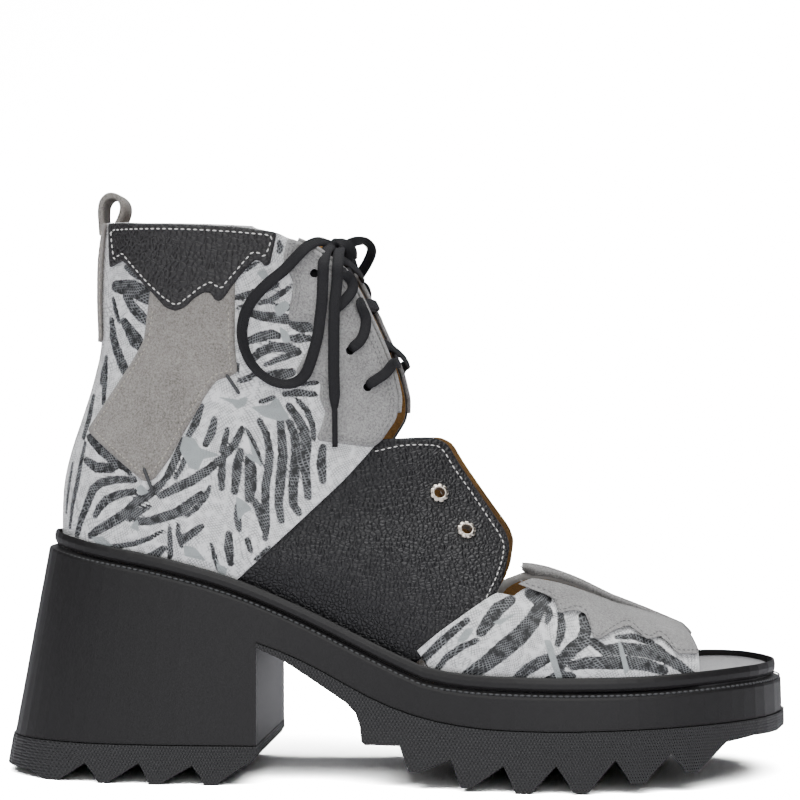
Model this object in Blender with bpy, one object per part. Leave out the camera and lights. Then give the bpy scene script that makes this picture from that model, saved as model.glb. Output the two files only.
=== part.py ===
"""Open-toe lace-up ankle boot on a block heel and lugged platform, right shoe.

Metres, +Z up, toe at +X, inner side at +Y. The origin is under the middle of the boot, on the floor.
Tables give millimetres. Every piece is one closed solid.
"""
import math

import bmesh
import bpy
import numpy as np
from mathutils import Matrix, Vector

MM = 0.001
TUCK = 1.0            # the upper's sections start this far under the footbed and are trimmed to it
GAP = 0.3             # clearance between pieces that lie on each other
WALL = 1.8            # thickness of the upper
OVERLAY = 1.1         # thickness of a leather piece laid over the upper
LEDGE_OUT = 4.8       # ledge of the midsole beyond the foot outline
LEDGE_RISE = 1.8      # slope of the ledge up to the footbed
RAND_HEIGHT = 5.0     # top of the rand above the footbed
RAND_OUT = 2.8        # fullest point of the rand beyond the foot outline
INSOLE_THICK = 3.2
OUTSOLE_STEP = 0.6    # textured rubber stands this far out of the smooth wall
SIDE_LEAN = 0.02      # outward lean of the platform's and heel's sides
HEEL_LEAN = 0.17      # backward lean of the heel's back
CENTRE_X = -2.45      # middle of the boot's own length and width in the tables' coordinates
CENTRE_Y = -1.37
BREAST_X = -45.5      # front face of the block heel
LIFT_TOP = 13.2       # height of the heel's rubber lift
PEEP_X = 104.0        # front edge of the toe vamp at its sides
LACE_WIDE = 3.8       # flat lace, width
LACE_THICK = 1.9

# Foot outline seen from above, at the seam of upper and footbed.
FOOT_HEEL = (-120.2, 0.0)
FOOT_TOE = (129.3, 9.0)
FOOT_ROWS = (
    # x, outer half-width, inner half-width
    (-117.0, 10.5, 10.5),
    (-109.5, 18.5, 18.5),
    (-97.0, 25.0, 24.5),
    (-78.0, 28.4, 27.2),
    (-55.0, 29.0, 26.8),
    (-30.0, 29.2, 25.4),
    (-5.0, 31.4, 25.6),
    (20.0, 36.0, 29.0),
    (43.0, 39.8, 33.8),
    (63.0, 40.5, 36.8),
    (82.0, 38.4, 37.8),
    (98.0, 33.2, 36.4),
    (111.5, 25.2, 32.6),
    (122.0, 14.0, 25.8),
)

# Height of the midsole's outer top edge along the boot.
EDGE_ROWS = (
    # x, height
    (-125.0, 79.2),
    (-105.0, 75.0),
    (-80.0, 70.4),
    (-54.0, 63.2),
    (-29.0, 52.8),
    (-7.0, 42.2),
    (3.5, 37.4),
    (12.0, 34.0),
    (25.0, 32.0),
    (45.0, 31.2),
    (70.0, 31.2),
    (88.0, 31.6),
    (104.0, 32.4),
    (119.0, 33.0),
    (137.0, 32.6),
)

# Line between the smooth platform and the textured rubber, from the breast to the toe.
RUBBER_TOP = (
    # x, height
    (-45.5, 48.4),
    (-36.0, 45.0),
    (-21.5, 38.2),
    (-8.0, 31.0),
    (1.5, 27.0),
    (14.5, 23.4),
    (26.0, 21.6),
    (50.0, 20.6),
    (82.0, 21.2),
    (116.0, 22.2),
    (146.0, 22.6),
)

# Underside of the forefoot rubber, walked from the breast to the toe: the shank, then five lugs.
SHANK_UNDER = (
    # x, height
    (-45.5, 46.6),
    (-36.0, 42.2),
    (-15.0, 28.6),
    (-11.4, 25.0),
    (-10.0, 20.6),
    (-9.4, 15.4),
    (-8.2, 14.4),
    (3.6, 14.4),
)
FORE_LUGS = (
    # top of rear face x, tip start x, tip end x, tip height, foot of slope x, foot height
    (4.6, 6.8, 10.0, 6.0, 21.0, 10.6),
    (22.2, 24.4, 28.0, 1.4, 38.6, 9.0),
    (40.6, 42.6, 47.2, 0.0, 56.0, 9.4),
    (58.6, 61.4, 66.6, 0.9, 75.4, 11.4),
    (77.6, 80.2, 84.6, 3.6, 93.6, 13.0),
    (96.0, 98.6, 102.4, 6.6, 112.4, 15.6),
)
TOE_UNDER = (
    # x, height
    (122.0, 16.8),
    (131.0, 16.4),
    (146.0, 20.4),
)
HEEL_LUGS = (
    # top of rear face x, tip start x, tip end x, tip height, foot of slope x, foot height
    (-102.9, -100.4, -97.4, 0.0, -85.8, 7.2),
    (-84.0, -82.4, -78.8, 0.0, -67.4, 6.6),
    (-65.0, -63.4, -59.6, 0.0, -46.6, 8.6),
)
HEEL_REAR_BLOCK = (
    # x, height
    (-150.0, 3.4),
    (-127.0, 2.6),
    (-121.0, 0.0),
    (-115.6, 0.0),
    (-105.2, 6.6),
)

# Sections of the upper. Each is a rib in the side view, from the base (back seam or footbed) to the ridge of the
# instep. Belly is the fullest half-width and belly_at its place along the rib. Round is 1 where the base closes
# round the heel and 0 where it stands on the footbed. Base heights of -1 are read from the footbed.
SECTIONS = (
    # base x, base z, ridge x, ridge z, belly outer, belly inner, belly_at, round
    (-101.4, 206.0, -16.0, 196.0, 34.4, 33.2, 0.47, 1.0),
    (-103.4, 194.0, -11.5, 185.0, 34.0, 32.8, 0.47, 1.0),
    (-105.4, 181.0, -6.0, 171.0, 33.0, 31.8, 0.47, 1.0),
    (-105.8, 165.0, 1.0, 157.0, 31.8, 30.6, 0.46, 1.0),
    (-105.6, 151.0, 7.5, 144.0, 31.2, 29.8, 0.44, 1.0),
    (-108.4, 138.0, 12.0, 134.0, 31.0, 29.4, 0.42, 1.0),
    (-112.2, 126.0, 16.5, 127.5, 31.0, 29.4, 0.40, 1.0),
    (-116.2, 114.5, 21.0, 123.0, 31.4, 29.6, 0.38, 0.85),
    (-119.0, 104.0, 25.0, 118.5, 31.8, 29.8, 0.37, 0.6),
    (-120.1, 94.0, 29.0, 113.5, 32.0, 29.8, 0.36, 0.3),
    (-120.2, -1.0, 32.5, 108.5, 32.0, 29.6, 0.36, 0.0),
    (-118.2, -1.0, 35.5, 104.5, 32.0, 29.4, 0.36, 0.0),
    (-113.0, -1.0, 38.0, 101.0, 32.0, 29.4, 0.36, 0.0),
    (-103.0, -1.0, 40.5, 97.5, 32.2, 29.4, 0.36, 0.0),
    (-88.0, -1.0, 43.0, 94.0, 33.0, 29.8, 0.36, 0.0),
    (-68.0, -1.0, 45.5, 90.5, 33.8, 30.0, 0.36, 0.0),
    (-45.0, -1.0, 48.0, 86.5, 34.4, 30.2, 0.38, 0.0),
    (-20.0, -1.0, 50.5, 82.0, 35.6, 31.2, 0.40, 0.0),
    (5.0, -1.0, 54.0, 77.0, 38.0, 32.8, 0.40, 0.0),
    (25.0, -1.0, 60.0, 71.5, 40.6, 35.2, 0.38, 0.0),
    (42.0, -1.0, 68.0, 66.0, 42.4, 37.6, 0.36, 0.0),
    (57.0, -1.0, 76.5, 61.0, 42.8, 39.0, 0.34, 0.0),
    (71.0, -1.0, 85.0, 57.2, 41.8, 39.6, 0.32, 0.0),
    (83.0, -1.0, 92.0, 54.2, 39.6, 39.4, 0.30, 0.0),
    (94.0, -1.0, 98.5, 51.4, 36.0, 38.4, 0.28, 0.0),
    (104.0, -1.0, 104.5, 48.6, 31.0, 36.0, 0.26, 0.0),
    (112.0, -1.0, 110.0, 46.0, 25.8, 33.2, 0.24, 0.0),
)
ROUNDNESS = 2.3       # power of the section's arches

# Level lines that the upper's wall is drawn through: the section at the back seam, the section whose ridge end is
# met, the height of the front end above the footbed where the line runs out at the open toe instead of on the
# ridge, or -1, and how far the line follows the footbed's slope.
WATERLINES = (
    # back section, ridge section, front height, follow
    (0.0, 0.0, -1, 0.0),
    (1.0, 1.0, -1, 0.0),
    (2.0, 2.0, -1, 0.0),
    (3.0, 3.0, -1, 0.0),
    (4.0, 4.2, -1, 0.05),
    (4.8, 6.0, -1, 0.12),
    (5.6, 8.5, -1, 0.2),
    (6.3, 11.0, -1, 0.3),
    (7.0, 14.0, -1, 0.42),
    (7.7, 17.0, -1, 0.55),
    (8.3, 19.5, -1, 0.7),
    (8.8, 21.5, -1, 0.82),
    (9.2, 23.5, -1, 0.92),
    (9.5, 26.0, -1, 1.0),
    (9.75, 26.0, 5.0, 1.0),
    (10.0, 26.0, 0.0, 1.0),
)
LINE_STEPS = (0.0, 0.006, 0.02, 0.045, 0.085, 0.14, 0.22, 0.31, 0.41, 0.51, 0.61, 0.7, 0.78, 0.85, 0.91, 0.955, 0.985,
              1.0)
FRONT_X = 112.0


# Everything in front of and above these lines is cut away from the upper, in the side view.
INSTEP_OPENING = (
    # x, height: the collar from the back, the throat, the band's top and front edge, the vamp's rear edge
    (-140.0, 193.6),
    (-102.0, 193.4),
    (-84.0, 191.4),
    (-60.0, 190.4),
    (-38.0, 187.8),
    (-24.0, 182.2),
    (-16.6, 174.4),
    (-11.4, 164.6),
    (-5.0, 150.6),
    (-0.6, 139.6),
    (1.4, 131.0),
    (1.0, 124.0),
    (-4.2, 116.6),
    (8.5, 117.2),
    (15.6, 117.2),
    (18.8, 115.8),
    (22.4, 108.6),
    (31.4, 95.4),
    (39.6, 84.4),
    (40.4, 80.0),
    (38.8, 71.6),
    (35.4, 65.0),
    (43.4, 68.0),
    (49.4, 69.4),
    (60.0, 110.0),
    (60.0, 240.0),
    (-140.0, 240.0),
)
# Outlines of the pieces laid over the upper, in the side view. The same ones serve both sides.
COLLAR_PATCH = (
    # x, height
    (-99.4, 192.4),
    (-98.0, 176.2),
    (-92.3, 179.8),
    (-85.4, 173.4),
    (-81.9, 167.2),
    (-77.2, 162.8),
    (-72.8, 161.3),
    (-67.4, 164.4),
    (-62.2, 168.0),
    (-59.5, 165.3),
    (-56.9, 164.9),
    (-52.6, 173.0),
    (-45.1, 180.8),
    (-41.0, 177.0),
    (-38.2, 187.2),
    (-60.0, 189.9),
    (-84.0, 190.9),
)
SIDE_PATCH = (
    # x, height
    (-81.6, 166.0),
    (-77.0, 161.9),
    (-72.7, 160.5),
    (-67.2, 163.5),
    (-62.2, 167.0),
    (-59.8, 164.6),
    (-56.6, 163.9),
    (-52.9, 170.4),
    (-52.6, 150.1),
    (-51.9, 136.4),
    (-58.3, 137.7),
    (-63.2, 132.1),
    (-70.4, 120.2),
    (-80.0, 105.6),
    (-83.1, 102.0),
    (-97.1, 112.3),
    (-107.4, 121.2),
    (-90.6, 143.1),
    (-85.4, 151.3),
)
FACING = (
    # x, height
    (-34.6, 186.4),
    (-24.6, 181.6),
    (-17.2, 173.8),
    (-12.0, 164.0),
    (-5.6, 150.2),
    (-1.2, 139.4),
    (0.8, 131.0),
    (0.4, 124.2),
    (-4.6, 117.4),
    (-7.2, 114.8),
    (-19.6, 115.8),
    (-25.6, 118.4),
    (-25.0, 129.4),
    (-24.4, 140.0),
    (-27.2, 157.7),
    (-34.2, 159.2),
    (-35.4, 172.0),
)
TOE_PATCH = (
    # x, height
    (43.9, 67.6),
    (53.4, 63.9),
    (57.6, 59.2),
    (66.5, 58.9),
    (68.0, 51.7),
    (70.4, 50.7),
    (79.9, 54.2),
    (86.9, 50.1),
    (90.9, 51.4),
    (95.8, 46.0),
    (103.0, 45.0),
    (112.0, 62.0),
    (70.0, 84.0),
    (49.0, 90.0),
)
BACK_STRIP = (
    # x, height
    (-130.0, 192.6),
    (-100.8, 192.6),
    (-103.0, 168.0),
    (-103.2, 153.4),
    (-130.0, 153.4),
)
PULL_WIDE = 12.0
PULL_THICK = 2.1
PULL_ROUTE = (
    # x, height
    (-104.9, 193.1),
    (-105.2, 196.6),
    (-105.1, 200.2),
    (-103.8, 203.0),
    (-101.2, 203.9),
    (-98.6, 202.8),
    (-97.4, 200.2),
    (-98.2, 196.8),
    (-99.7, 193.4),
    (-99.9, 189.0),
    (-100.8, 182.5),
)
EYELET_PLACES = ((16.1, 98.4), (25.6, 85.9))
EYELET_HOLE = 1.9
EYELET_RIM = 3.35
EYELET_PETALS = 9

# Crossings of the lace at the throat: places on its front edge, low and high end.
LACE_CROSSES = (
    # low x, low z, high x, high z
    (-0.4, 143.0, -3.8, 151.4),
    (-5.8, 157.0, -9.0, 164.6),
    (-12.2, 170.6, -16.6, 177.4),
)
BAR_REACH = 21.0
THROAT_HALF_WIDTH = 22.0
CORD_RADIUS = 1.4
CORD_CLEAR = GAP + OVERLAY + CORD_RADIUS + 0.4
TIP_RADIUS = 0.9
TIP_LENGTH = 12.6
KNOT_PLACE = (-18.2, 0.0, 184.8)
KNOT_RADII = (4.4, 5.0, 5.0)

# Routes of the bow on the outer side, from the knot. The inner side repeats them.
LOOP_ROUTE = (
    (-20.6, -4.6, 187.4),
    (-21.2, -14.5, 187.6),
    (-23.2, -23.0, 184.6),
    (-26.4, -29.4, 179.6),
    (-31.2, -32.8, 172.0),
    (-36.2, -34.0, 167.0),
    (-41.1, -34.5, 162.4),
    (-46.2, -34.7, 158.0),
    (-50.2, -34.6, 153.0),
    (-52.2, -34.4, 147.6),
    (-50.6, -34.1, 141.6),
    (-46.8, -33.9, 137.2),
    (-42.2, -33.7, 134.6),
    (-37.4, -33.3, 133.7),
    (-32.8, -32.9, 135.2),
    (-29.6, -32.5, 139.0),
    (-27.6, -32.1, 143.6),
    (-26.0, -31.8, 150.0),
    (-24.7, -31.2, 157.5),
    (-23.6, -30.4, 165.0),
    (-22.4, -28.4, 173.0),
    (-20.6, -23.0, 180.6),
    (-19.4, -14.5, 183.4),
    (-19.6, -5.4, 183.0),
)
END_ROUTE = (
    (-15.4, -5.0, 184.0),
    (-13.6, -14.0, 184.2),
    (-13.6, -20.5, 183.8),
    (-14.8, -25.8, 179.4),
    (-16.8, -27.0, 173.2),
    (-18.0, -27.8, 167.3),
    (-18.2, -28.9, 160.4),
    (-18.3, -29.6, 153.5),
    (-18.4, -30.1, 146.7),
    (-18.5, -30.3, 139.9),
    (-18.7, -30.6, 133.1),
    (-18.8, -30.9, 128.2),
)

# Slit down the middle of the toe vamp, and the open toe, seen from above.
TOE_SLIT = (
    # x, y
    (42.0, -32.0),
    (50.0, -27.0),
    (65.0, -19.0),
    (80.0, -9.5),
    (94.0, 1.5),
    (94.0, 4.5),
    (80.0, 14.0),
    (65.0, 22.0),
    (50.0, 29.0),
    (42.0, 33.0),
)
PEEP_OPENING = (
    # x, y
    (106.6, 60.0),
    (106.0, 34.0),
    (101.4, 20.0),
    (98.6, 5.0),
    (100.4, -12.0),
    (103.6, -26.0),
    (104.4, -60.0),
    (160.0, -60.0),
    (160.0, 60.0),
)


def clear_scene():
    for old in list(bpy.data.objects):
        bpy.data.objects.remove(old, do_unlink=True)


def material(name, colour, roughness, metallic=0.0):
    made = bpy.data.materials.new(name)
    made.use_nodes = True
    shader = made.node_tree.nodes["Principled BSDF"]
    shader.inputs["Base Color"].default_value = (*colour, 1.0)
    shader.inputs["Roughness"].default_value = roughness
    shader.inputs["Metallic"].default_value = metallic
    return made


def solid(name, points, faces, finish, sharp_degrees=40.0):
    """One mesh object from points in millimetres, its faces turned outwards."""
    mesh = bpy.data.meshes.new(name)
    mesh.from_pydata([Vector(p) * MM for p in points], [], faces)
    work = bmesh.new()
    work.from_mesh(mesh)
    bmesh.ops.remove_doubles(work, verts=work.verts, dist=0.02 * MM)
    bmesh.ops.recalc_face_normals(work, faces=work.faces)
    work.to_mesh(mesh)
    work.free()
    mesh.shade_smooth()
    mesh.set_sharp_from_angle(angle=math.radians(sharp_degrees))
    made = bpy.data.objects.new(name, mesh)
    bpy.context.collection.objects.link(made)
    if finish:
        mesh.materials.append(finish)
    return made


def boolean(target, cutter, operation):
    """Exact Boolean of target with cutter, applied. The cutter is removed."""
    step = target.modifiers.new("cut", "BOOLEAN")
    step.operation = operation
    step.solver = "EXACT"
    step.object = cutter
    bpy.context.view_layer.update()
    result = bpy.data.meshes.new_from_object(target.evaluated_get(bpy.context.evaluated_depsgraph_get()))
    target.modifiers.remove(step)
    finishes = list(target.data.materials)
    target.data = result
    result.materials.clear()
    for finish in finishes:
        result.materials.append(finish)
    bpy.data.objects.remove(cutter, do_unlink=True)
    return target


def hermite(rows, x, column=1):
    """Smooth value of a table's column at x, read between its rows."""
    xs = np.array([row[0] for row in rows], float)
    ys = np.array([row[column] for row in rows], float)
    x = min(max(x, xs[0]), xs[-1])
    slopes = np.gradient(ys, xs)
    k = min(max(int(np.searchsorted(xs, x)) - 1, 0), len(xs) - 2)
    span = xs[k + 1] - xs[k]
    u = (x - xs[k]) / span
    rise = (2 * u**3 - 3 * u**2 + 1) * ys[k] + (3 * u**2 - 2 * u**3) * ys[k + 1]
    return float(rise + span * ((u**3 - 2 * u**2 + u) * slopes[k] + (u**3 - u**2) * slopes[k + 1]))


def rounded(points, steps):
    """Closed smooth curve through points, with steps pieces between each two."""
    count = len(points)
    ring = []
    for k in range(count):
        a, b, c, d = (np.array(points[(k + n) % count], float) for n in (-1, 0, 1, 2))
        before, along, after = (max(np.linalg.norm(q - p), 1e-6) for p, q in ((a, b), (b, c), (c, d)))
        leave = (c - b) / along * 0.5 + (b - a) / before * 0.5
        reach = (d - c) / after * 0.5 + (c - b) / along * 0.5
        for n in range(steps):
            u = n / steps
            ring.append((2 * u**3 - 3 * u**2 + 1) * b + (3 * u**2 - 2 * u**3) * c
                        + along * ((u**3 - 2 * u**2 + u) * leave + (u**3 - u**2) * reach))
    return ring


def foot_ring(steps=3):
    outer = [(x, -wide) for x, wide, _ in FOOT_ROWS]
    inner = [(x, wide) for x, _, wide in reversed(FOOT_ROWS)]
    return rounded([FOOT_HEEL, *outer, FOOT_TOE, *inner], steps)


def grown(ring, distance):
    """The ring moved outwards; distance is a number or a function of the ring's x."""
    moved = []
    for k, point in enumerate(ring):
        along = ring[(k + 1) % len(ring)] - ring[k - 1]
        out = np.array((along[1], -along[0])) / np.linalg.norm(along)
        moved.append(point + out * (distance(point[0]) if callable(distance) else distance))
    return moved


def half_outline(side, offset):
    """Places and half-widths of the foot outline grown by offset, on one side, from heel to toe."""
    key = (side, round(offset, 3))
    if key not in HALF_OUTLINES:
        ring = grown(FINE_RING, offset)
        half = len(ring) // 2
        part = ring[: half + 1] if side < 0 else [ring[0], *reversed(ring[half:])]
        HALF_OUTLINES[key] = ([p[0] for p in part], [p[1] * side for p in part])
    return HALF_OUTLINES[key]


def foot_half_width(x, side, offset=0.0):
    """Half-width of the foot outline at x; side is -1 outside and 1 inside."""
    xs, ys = half_outline(side, offset)
    return float(np.interp(x, xs, ys))


def edge_height(x):
    return hermite(EDGE_ROWS, x)


def footbed(x):
    """Height of the midsole's top inside the ledge."""
    return edge_height(x) + LEDGE_RISE


def stack(name, rings, finish, sharp_degrees=40.0):
    """Closed solid through rings of points that start at the heel tip and pass the toe tip halfway."""
    count = len(rings[0])
    half = count // 2
    points = [p for ring in rings for p in ring]
    faces = []
    for level in range(len(rings) - 1):
        low, high = level * count, (level + 1) * count
        for k in range(count):
            after = (k + 1) % count
            faces.append((low + k, low + after, high + after, high + k))
    for start, turned in ((0, True), ((len(rings) - 1) * count, False)):
        for k in range(half):
            cap = [start + k, start + k + 1, start + (count - k - 1) % count, start + (count - k) % count]
            cap = list(dict.fromkeys(cap))
            faces.append(tuple(reversed(cap)) if turned else tuple(cap))
    return solid(name, points, faces, finish, sharp_degrees)


def side_prism(name, outline, low_y=-90.0, high_y=90.0):
    """Side-view outline of (x, z) points drawn out across the boot."""
    count = len(outline)
    points = [(x, y, z) for y in (low_y, high_y) for x, z in outline]
    faces = [tuple(range(count)), tuple(range(2 * count - 1, count - 1, -1))]
    faces += [(k, (k + 1) % count, (k + 1) % count + count, k + count) for k in range(count)]
    return solid(name, points, faces, None)


def plan_prism(name, outline, low_z=-20.0, high_z=240.0):
    """Outline of (x, y) points seen from above, drawn out in height."""
    count = len(outline)
    points = [(x, y, z) for z in (low_z, high_z) for x, y in outline]
    faces = [tuple(range(count)), tuple(range(2 * count - 1, count - 1, -1))]
    faces += [(k, (k + 1) % count, (k + 1) % count + count, k + count) for k in range(count)]
    return solid(name, points, faces, None)


def wall_ring(extra, z):
    """Outline of the smooth wall at height z: it leans out a little downwards, and the heel's back much more."""
    ring = []
    for x, y in grown(foot_ring(), lambda x: LEDGE_OUT + extra + SIDE_LEAN * max(edge_height(x) - z, 0.0)):
        behind = min(max((BREAST_X - x) / 79.0, 0.0), 1.0)
        ring.append((x - HEEL_LEAN * behind * max(edge_height(x) - z, 0.0), y, z))
    return ring


def rubber_top_line():
    return [(x, hermite(RUBBER_TOP, x)) for x in np.linspace(BREAST_X, 146.0, 26)]


def make_midsole(finish):
    """Platform wall and block heel in one: ledge, wall, and the arch cut away under it."""
    ring = foot_ring()
    top = [(*p, footbed(p[0])) for p in grown(ring, LEDGE_OUT - 3.4)]
    shoulder = [(*p, edge_height(p[0]) + 0.5) for p in grown(ring, LEDGE_OUT - 0.4)]
    edge = [(*p, edge_height(p[0]) - 0.3) for p in grown(ring, LEDGE_OUT)]
    block = stack("midsole", [wall_ring(0.0, LIFT_TOP + GAP), edge, shoulder, top], finish)
    arch = [(x, z) for x, z in rubber_top_line()]
    arch = [(BREAST_X, 0.0), *arch, (160.0, arch[-1][1]), (160.0, 0.0)]
    return boolean(block, side_prism("arch", arch), "DIFFERENCE")


def lug_line(lugs):
    line = []
    for top_x, tip_x, tip_end, tip, foot_x, foot in lugs:
        line += [(tip_x - 0.45 * (tip_x - top_x), tip + 2.4), (tip_x, tip), (tip_end, tip), (foot_x, foot)]
    return line


def make_outsole_forefoot(finish):
    """Textured rubber from the breast to the toe, its lugs cut right across."""
    body = stack("outsole_forefoot", [wall_ring(OUTSOLE_STEP, z) for z in (-4.0, 52.0)], finish)
    top = [(x, z - GAP) for x, z in rubber_top_line()]
    under = [*SHANK_UNDER, *lug_line(FORE_LUGS), *TOE_UNDER]
    profile = [*under, *reversed(top)]
    profile[0] = (BREAST_X, under[0][1])
    return boolean(body, side_prism("profile", profile), "INTERSECT")


def make_outsole_heel(finish):
    """The heel's top lift of the same rubber, with three lugs and a rear block."""
    body = stack("outsole_heel", [wall_ring(OUTSOLE_STEP, z) for z in (-4.0, LIFT_TOP + 4.0)], finish)
    profile = [*HEEL_REAR_BLOCK, *lug_line(HEEL_LUGS), (BREAST_X, 10.6), (BREAST_X, LIFT_TOP),
               (-150.0, LIFT_TOP)]
    return boolean(body, side_prism("profile", profile), "INTERSECT")


def make_rand(finish):
    """Rounded band that runs all round on the footbed's edge."""
    ring = foot_ring()
    profile = (
        # out, up
        (1.75, GAP),
        (2.2, GAP),
        (RAND_OUT, 1.4),
        (RAND_OUT + 0.1, 3.0),
        (2.55, 4.4),
        (2.15, RAND_HEIGHT),
        (1.75, 4.7),
    )
    loops = [[(*p, footbed(p[0]) + up) for p in grown(ring, out)] for out, up in profile]
    count, turns = len(ring), len(loops)
    points = [p for loop in loops for p in loop]
    faces = []
    for a in range(turns):
        b = (a + 1) % turns
        for k in range(count):
            after = (k + 1) % count
            faces.append((a * count + k, a * count + after, b * count + after, b * count + k))
    return solid("rand", points, faces, finish)


def insole_margin(x):
    """Edge of the insole from the foot outline: inside the upper, and out to the rand where the toe is open."""
    open_toe = min(max((x - PEEP_X - 4.0) / 6.0, 0.0), 1.0)
    return -(WALL + 5 * GAP) * (1.0 - open_toe) + 0.3 * open_toe


def make_insole(finish):
    ring = foot_ring()
    levels = ((0.0, GAP), (0.0, INSOLE_THICK - 0.7), (-0.9, INSOLE_THICK))
    rings = [[(*p, footbed(p[0]) + up) for p in grown(ring, lambda x: insole_margin(x) + inset)]
             for inset, up in levels]
    return stack("insole", rings, finish)


def section_rows():
    """The section table with its base heights filled in and its rows counted from 0."""
    rows = []
    for k, (base_x, base_z, *others) in enumerate(SECTIONS):
        rows.append((k, base_x, footbed(base_x) - TUCK if base_z < 0 else base_z, *others))
    return rows


def section_at(s):
    """The section table read smoothly at s, which counts its rows from 0."""
    values = [hermite(SECTION_ROWS, s, column) for column in range(1, 9)]
    values[7] = min(max(values[7], 0.0), 1.0)
    return values


def ridge_normal(s):
    """Outward direction at the ridge in the side view."""
    last = len(SECTIONS) - 1
    before, after = section_at(max(s - 0.5, 0.0)), section_at(min(s + 0.5, last))
    along = np.array((after[2] - before[2], after[3] - before[3]))
    return np.array((-along[1], along[0])) / np.linalg.norm(along)


def rib_at(s, offset):
    """Section s with its ends moved out by offset, so that walls and overlays follow the same form."""
    values = section_at(s)
    out = ridge_normal(s) * offset
    fade = min(max((SEAT_ROW + 3.0 - s) / 3.0, 0.0), 1.0)
    return [values[0] - offset * fade, values[1], values[2] + out[0], values[3] + out[1], *values[4:]]


def rib_width(values, t, side, offset):
    """Half-width of a section at t along its rib, 0 at the base and 1 at the ridge."""
    base_x, base_z, ridge_x, _, outer, inner, belly_at, closed = values
    belly = (outer if side < 0 else inner) + offset
    if t >= belly_at:
        reach = (t - belly_at) / (1.0 - belly_at)
        return belly * max(1.0 - reach**ROUNDNESS, 0.0) ** (1.0 / ROUNDNESS)
    reach = 1.0 - t / belly_at
    arched = belly * max(1.0 - reach**ROUNDNESS, 0.0) ** (1.0 / ROUNDNESS)
    eased = 0.5 - 0.5 * math.cos(math.pi * (1.0 - reach))
    heel = FOOT_HEEL[0] - offset
    shift = 0.0 if base_z < footbed(base_x) + 1.0 else heel - base_x
    plan = foot_half_width(base_x + (ridge_x - base_x) * t + shift, side, offset)
    return closed * arched + (1.0 - closed) * (plan * (1.0 - eased) + belly * eased)


def ribs_for(offset):
    key = round(offset, 3)
    if key not in RIBS:
        places = [k * 0.25 for k in range(4 * (len(SECTIONS) - 1) + 1)]
        RIBS[key] = [(s, rib_at(s, offset)) for s in places]
    return RIBS[key]


def half_width(x, z, side, offset=0.0):
    """Half-width of the upper's form at a place of the side view, on the rib that passes through it."""
    ribs = ribs_for(offset)

    def below(values):
        along = (values[2] - values[0], values[3] - values[1])
        return (along[0] * (z - values[1]) - along[1] * (x - values[0])) / math.hypot(*along)

    low, high = 0, len(ribs) - 1
    if below(ribs[low][1]) >= 0.0:
        high = 1
    while high - low > 1:
        middle = (low + high) // 2
        if below(ribs[middle][1]) < 0.0:
            low = middle
        else:
            high = middle
    ahead, behind = below(ribs[low][1]), below(ribs[high][1])
    share = min(max(ahead / (ahead - behind), 0.0), 1.0) if ahead != behind else 0.0
    values = [p + (q - p) * share for p, q in zip(ribs[low][1], ribs[high][1])]
    along = np.array((values[2] - values[0], values[3] - values[1]))
    t = float(np.dot((x - values[0], z - values[1]), along) / np.dot(along, along))
    return rib_width(values, min(max(t, 0.0), 1.0), side, offset)


def waterline(row, t, offset):
    """Side-view place at t along a level line of the upper, from the back seam to the ridge or the front."""
    back_s, ridge_s, front_up, follow = row
    back = rib_at(back_s, offset)[:2]
    if front_up < 0:
        front = rib_at(ridge_s, offset)[2:4]
    else:
        front = (FRONT_X, footbed(FRONT_X) - TUCK + front_up)
    x = back[0] + (front[0] - back[0]) * t
    straight = back[1] + (front[1] - back[1]) * t
    lift = (back[1] - footbed(back[0])) * (1.0 - t) + (front[1] - footbed(front[0])) * t
    return x, straight * (1.0 - follow) + (footbed(x) + lift) * follow


def shell(name, rows, steps, low, high, finish, sides=(-1.0, 1.0)):
    """Closed wall between two offsets of the form, with its rims, on one side of the boot or both."""
    points, faces = [], []
    tall, wide = len(rows), len(steps)
    for side in sides:
        start = len(points)
        for offset in (low, high):
            for row in rows:
                for t in steps:
                    x, z = waterline(row, t, offset)
                    seam = t == 0.0 or (t == 1.0 and row[2] < 0)
                    y = 0.0 if seam else half_width(x, z, side, offset)
                    points.append((x, side * y, z))

        def at(layer, r, c):
            return start + layer * tall * wide + r * wide + c

        for r in range(tall - 1):
            for c in range(wide - 1):
                for layer in (0, 1):
                    faces.append((at(layer, r, c), at(layer, r + 1, c), at(layer, r + 1, c + 1), at(layer, r, c + 1)))
        for c in range(wide - 1):
            for r in (0, tall - 1):
                faces.append((at(0, r, c), at(0, r, c + 1), at(1, r, c + 1), at(1, r, c)))
        for r in range(tall - 1):
            ends = [] if len(sides) == 2 and steps[0] == 0.0 else [0]
            if len(sides) == 1 or steps[-1] < 1.0 or rows[r + 1][2] >= 0:
                ends.append(wide - 1)
            for c in ends:
                faces.append((at(0, r, c), at(0, r + 1, c), at(1, r + 1, c), at(1, r, c)))
    return solid(name, points, faces, finish, 50.0)


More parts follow.
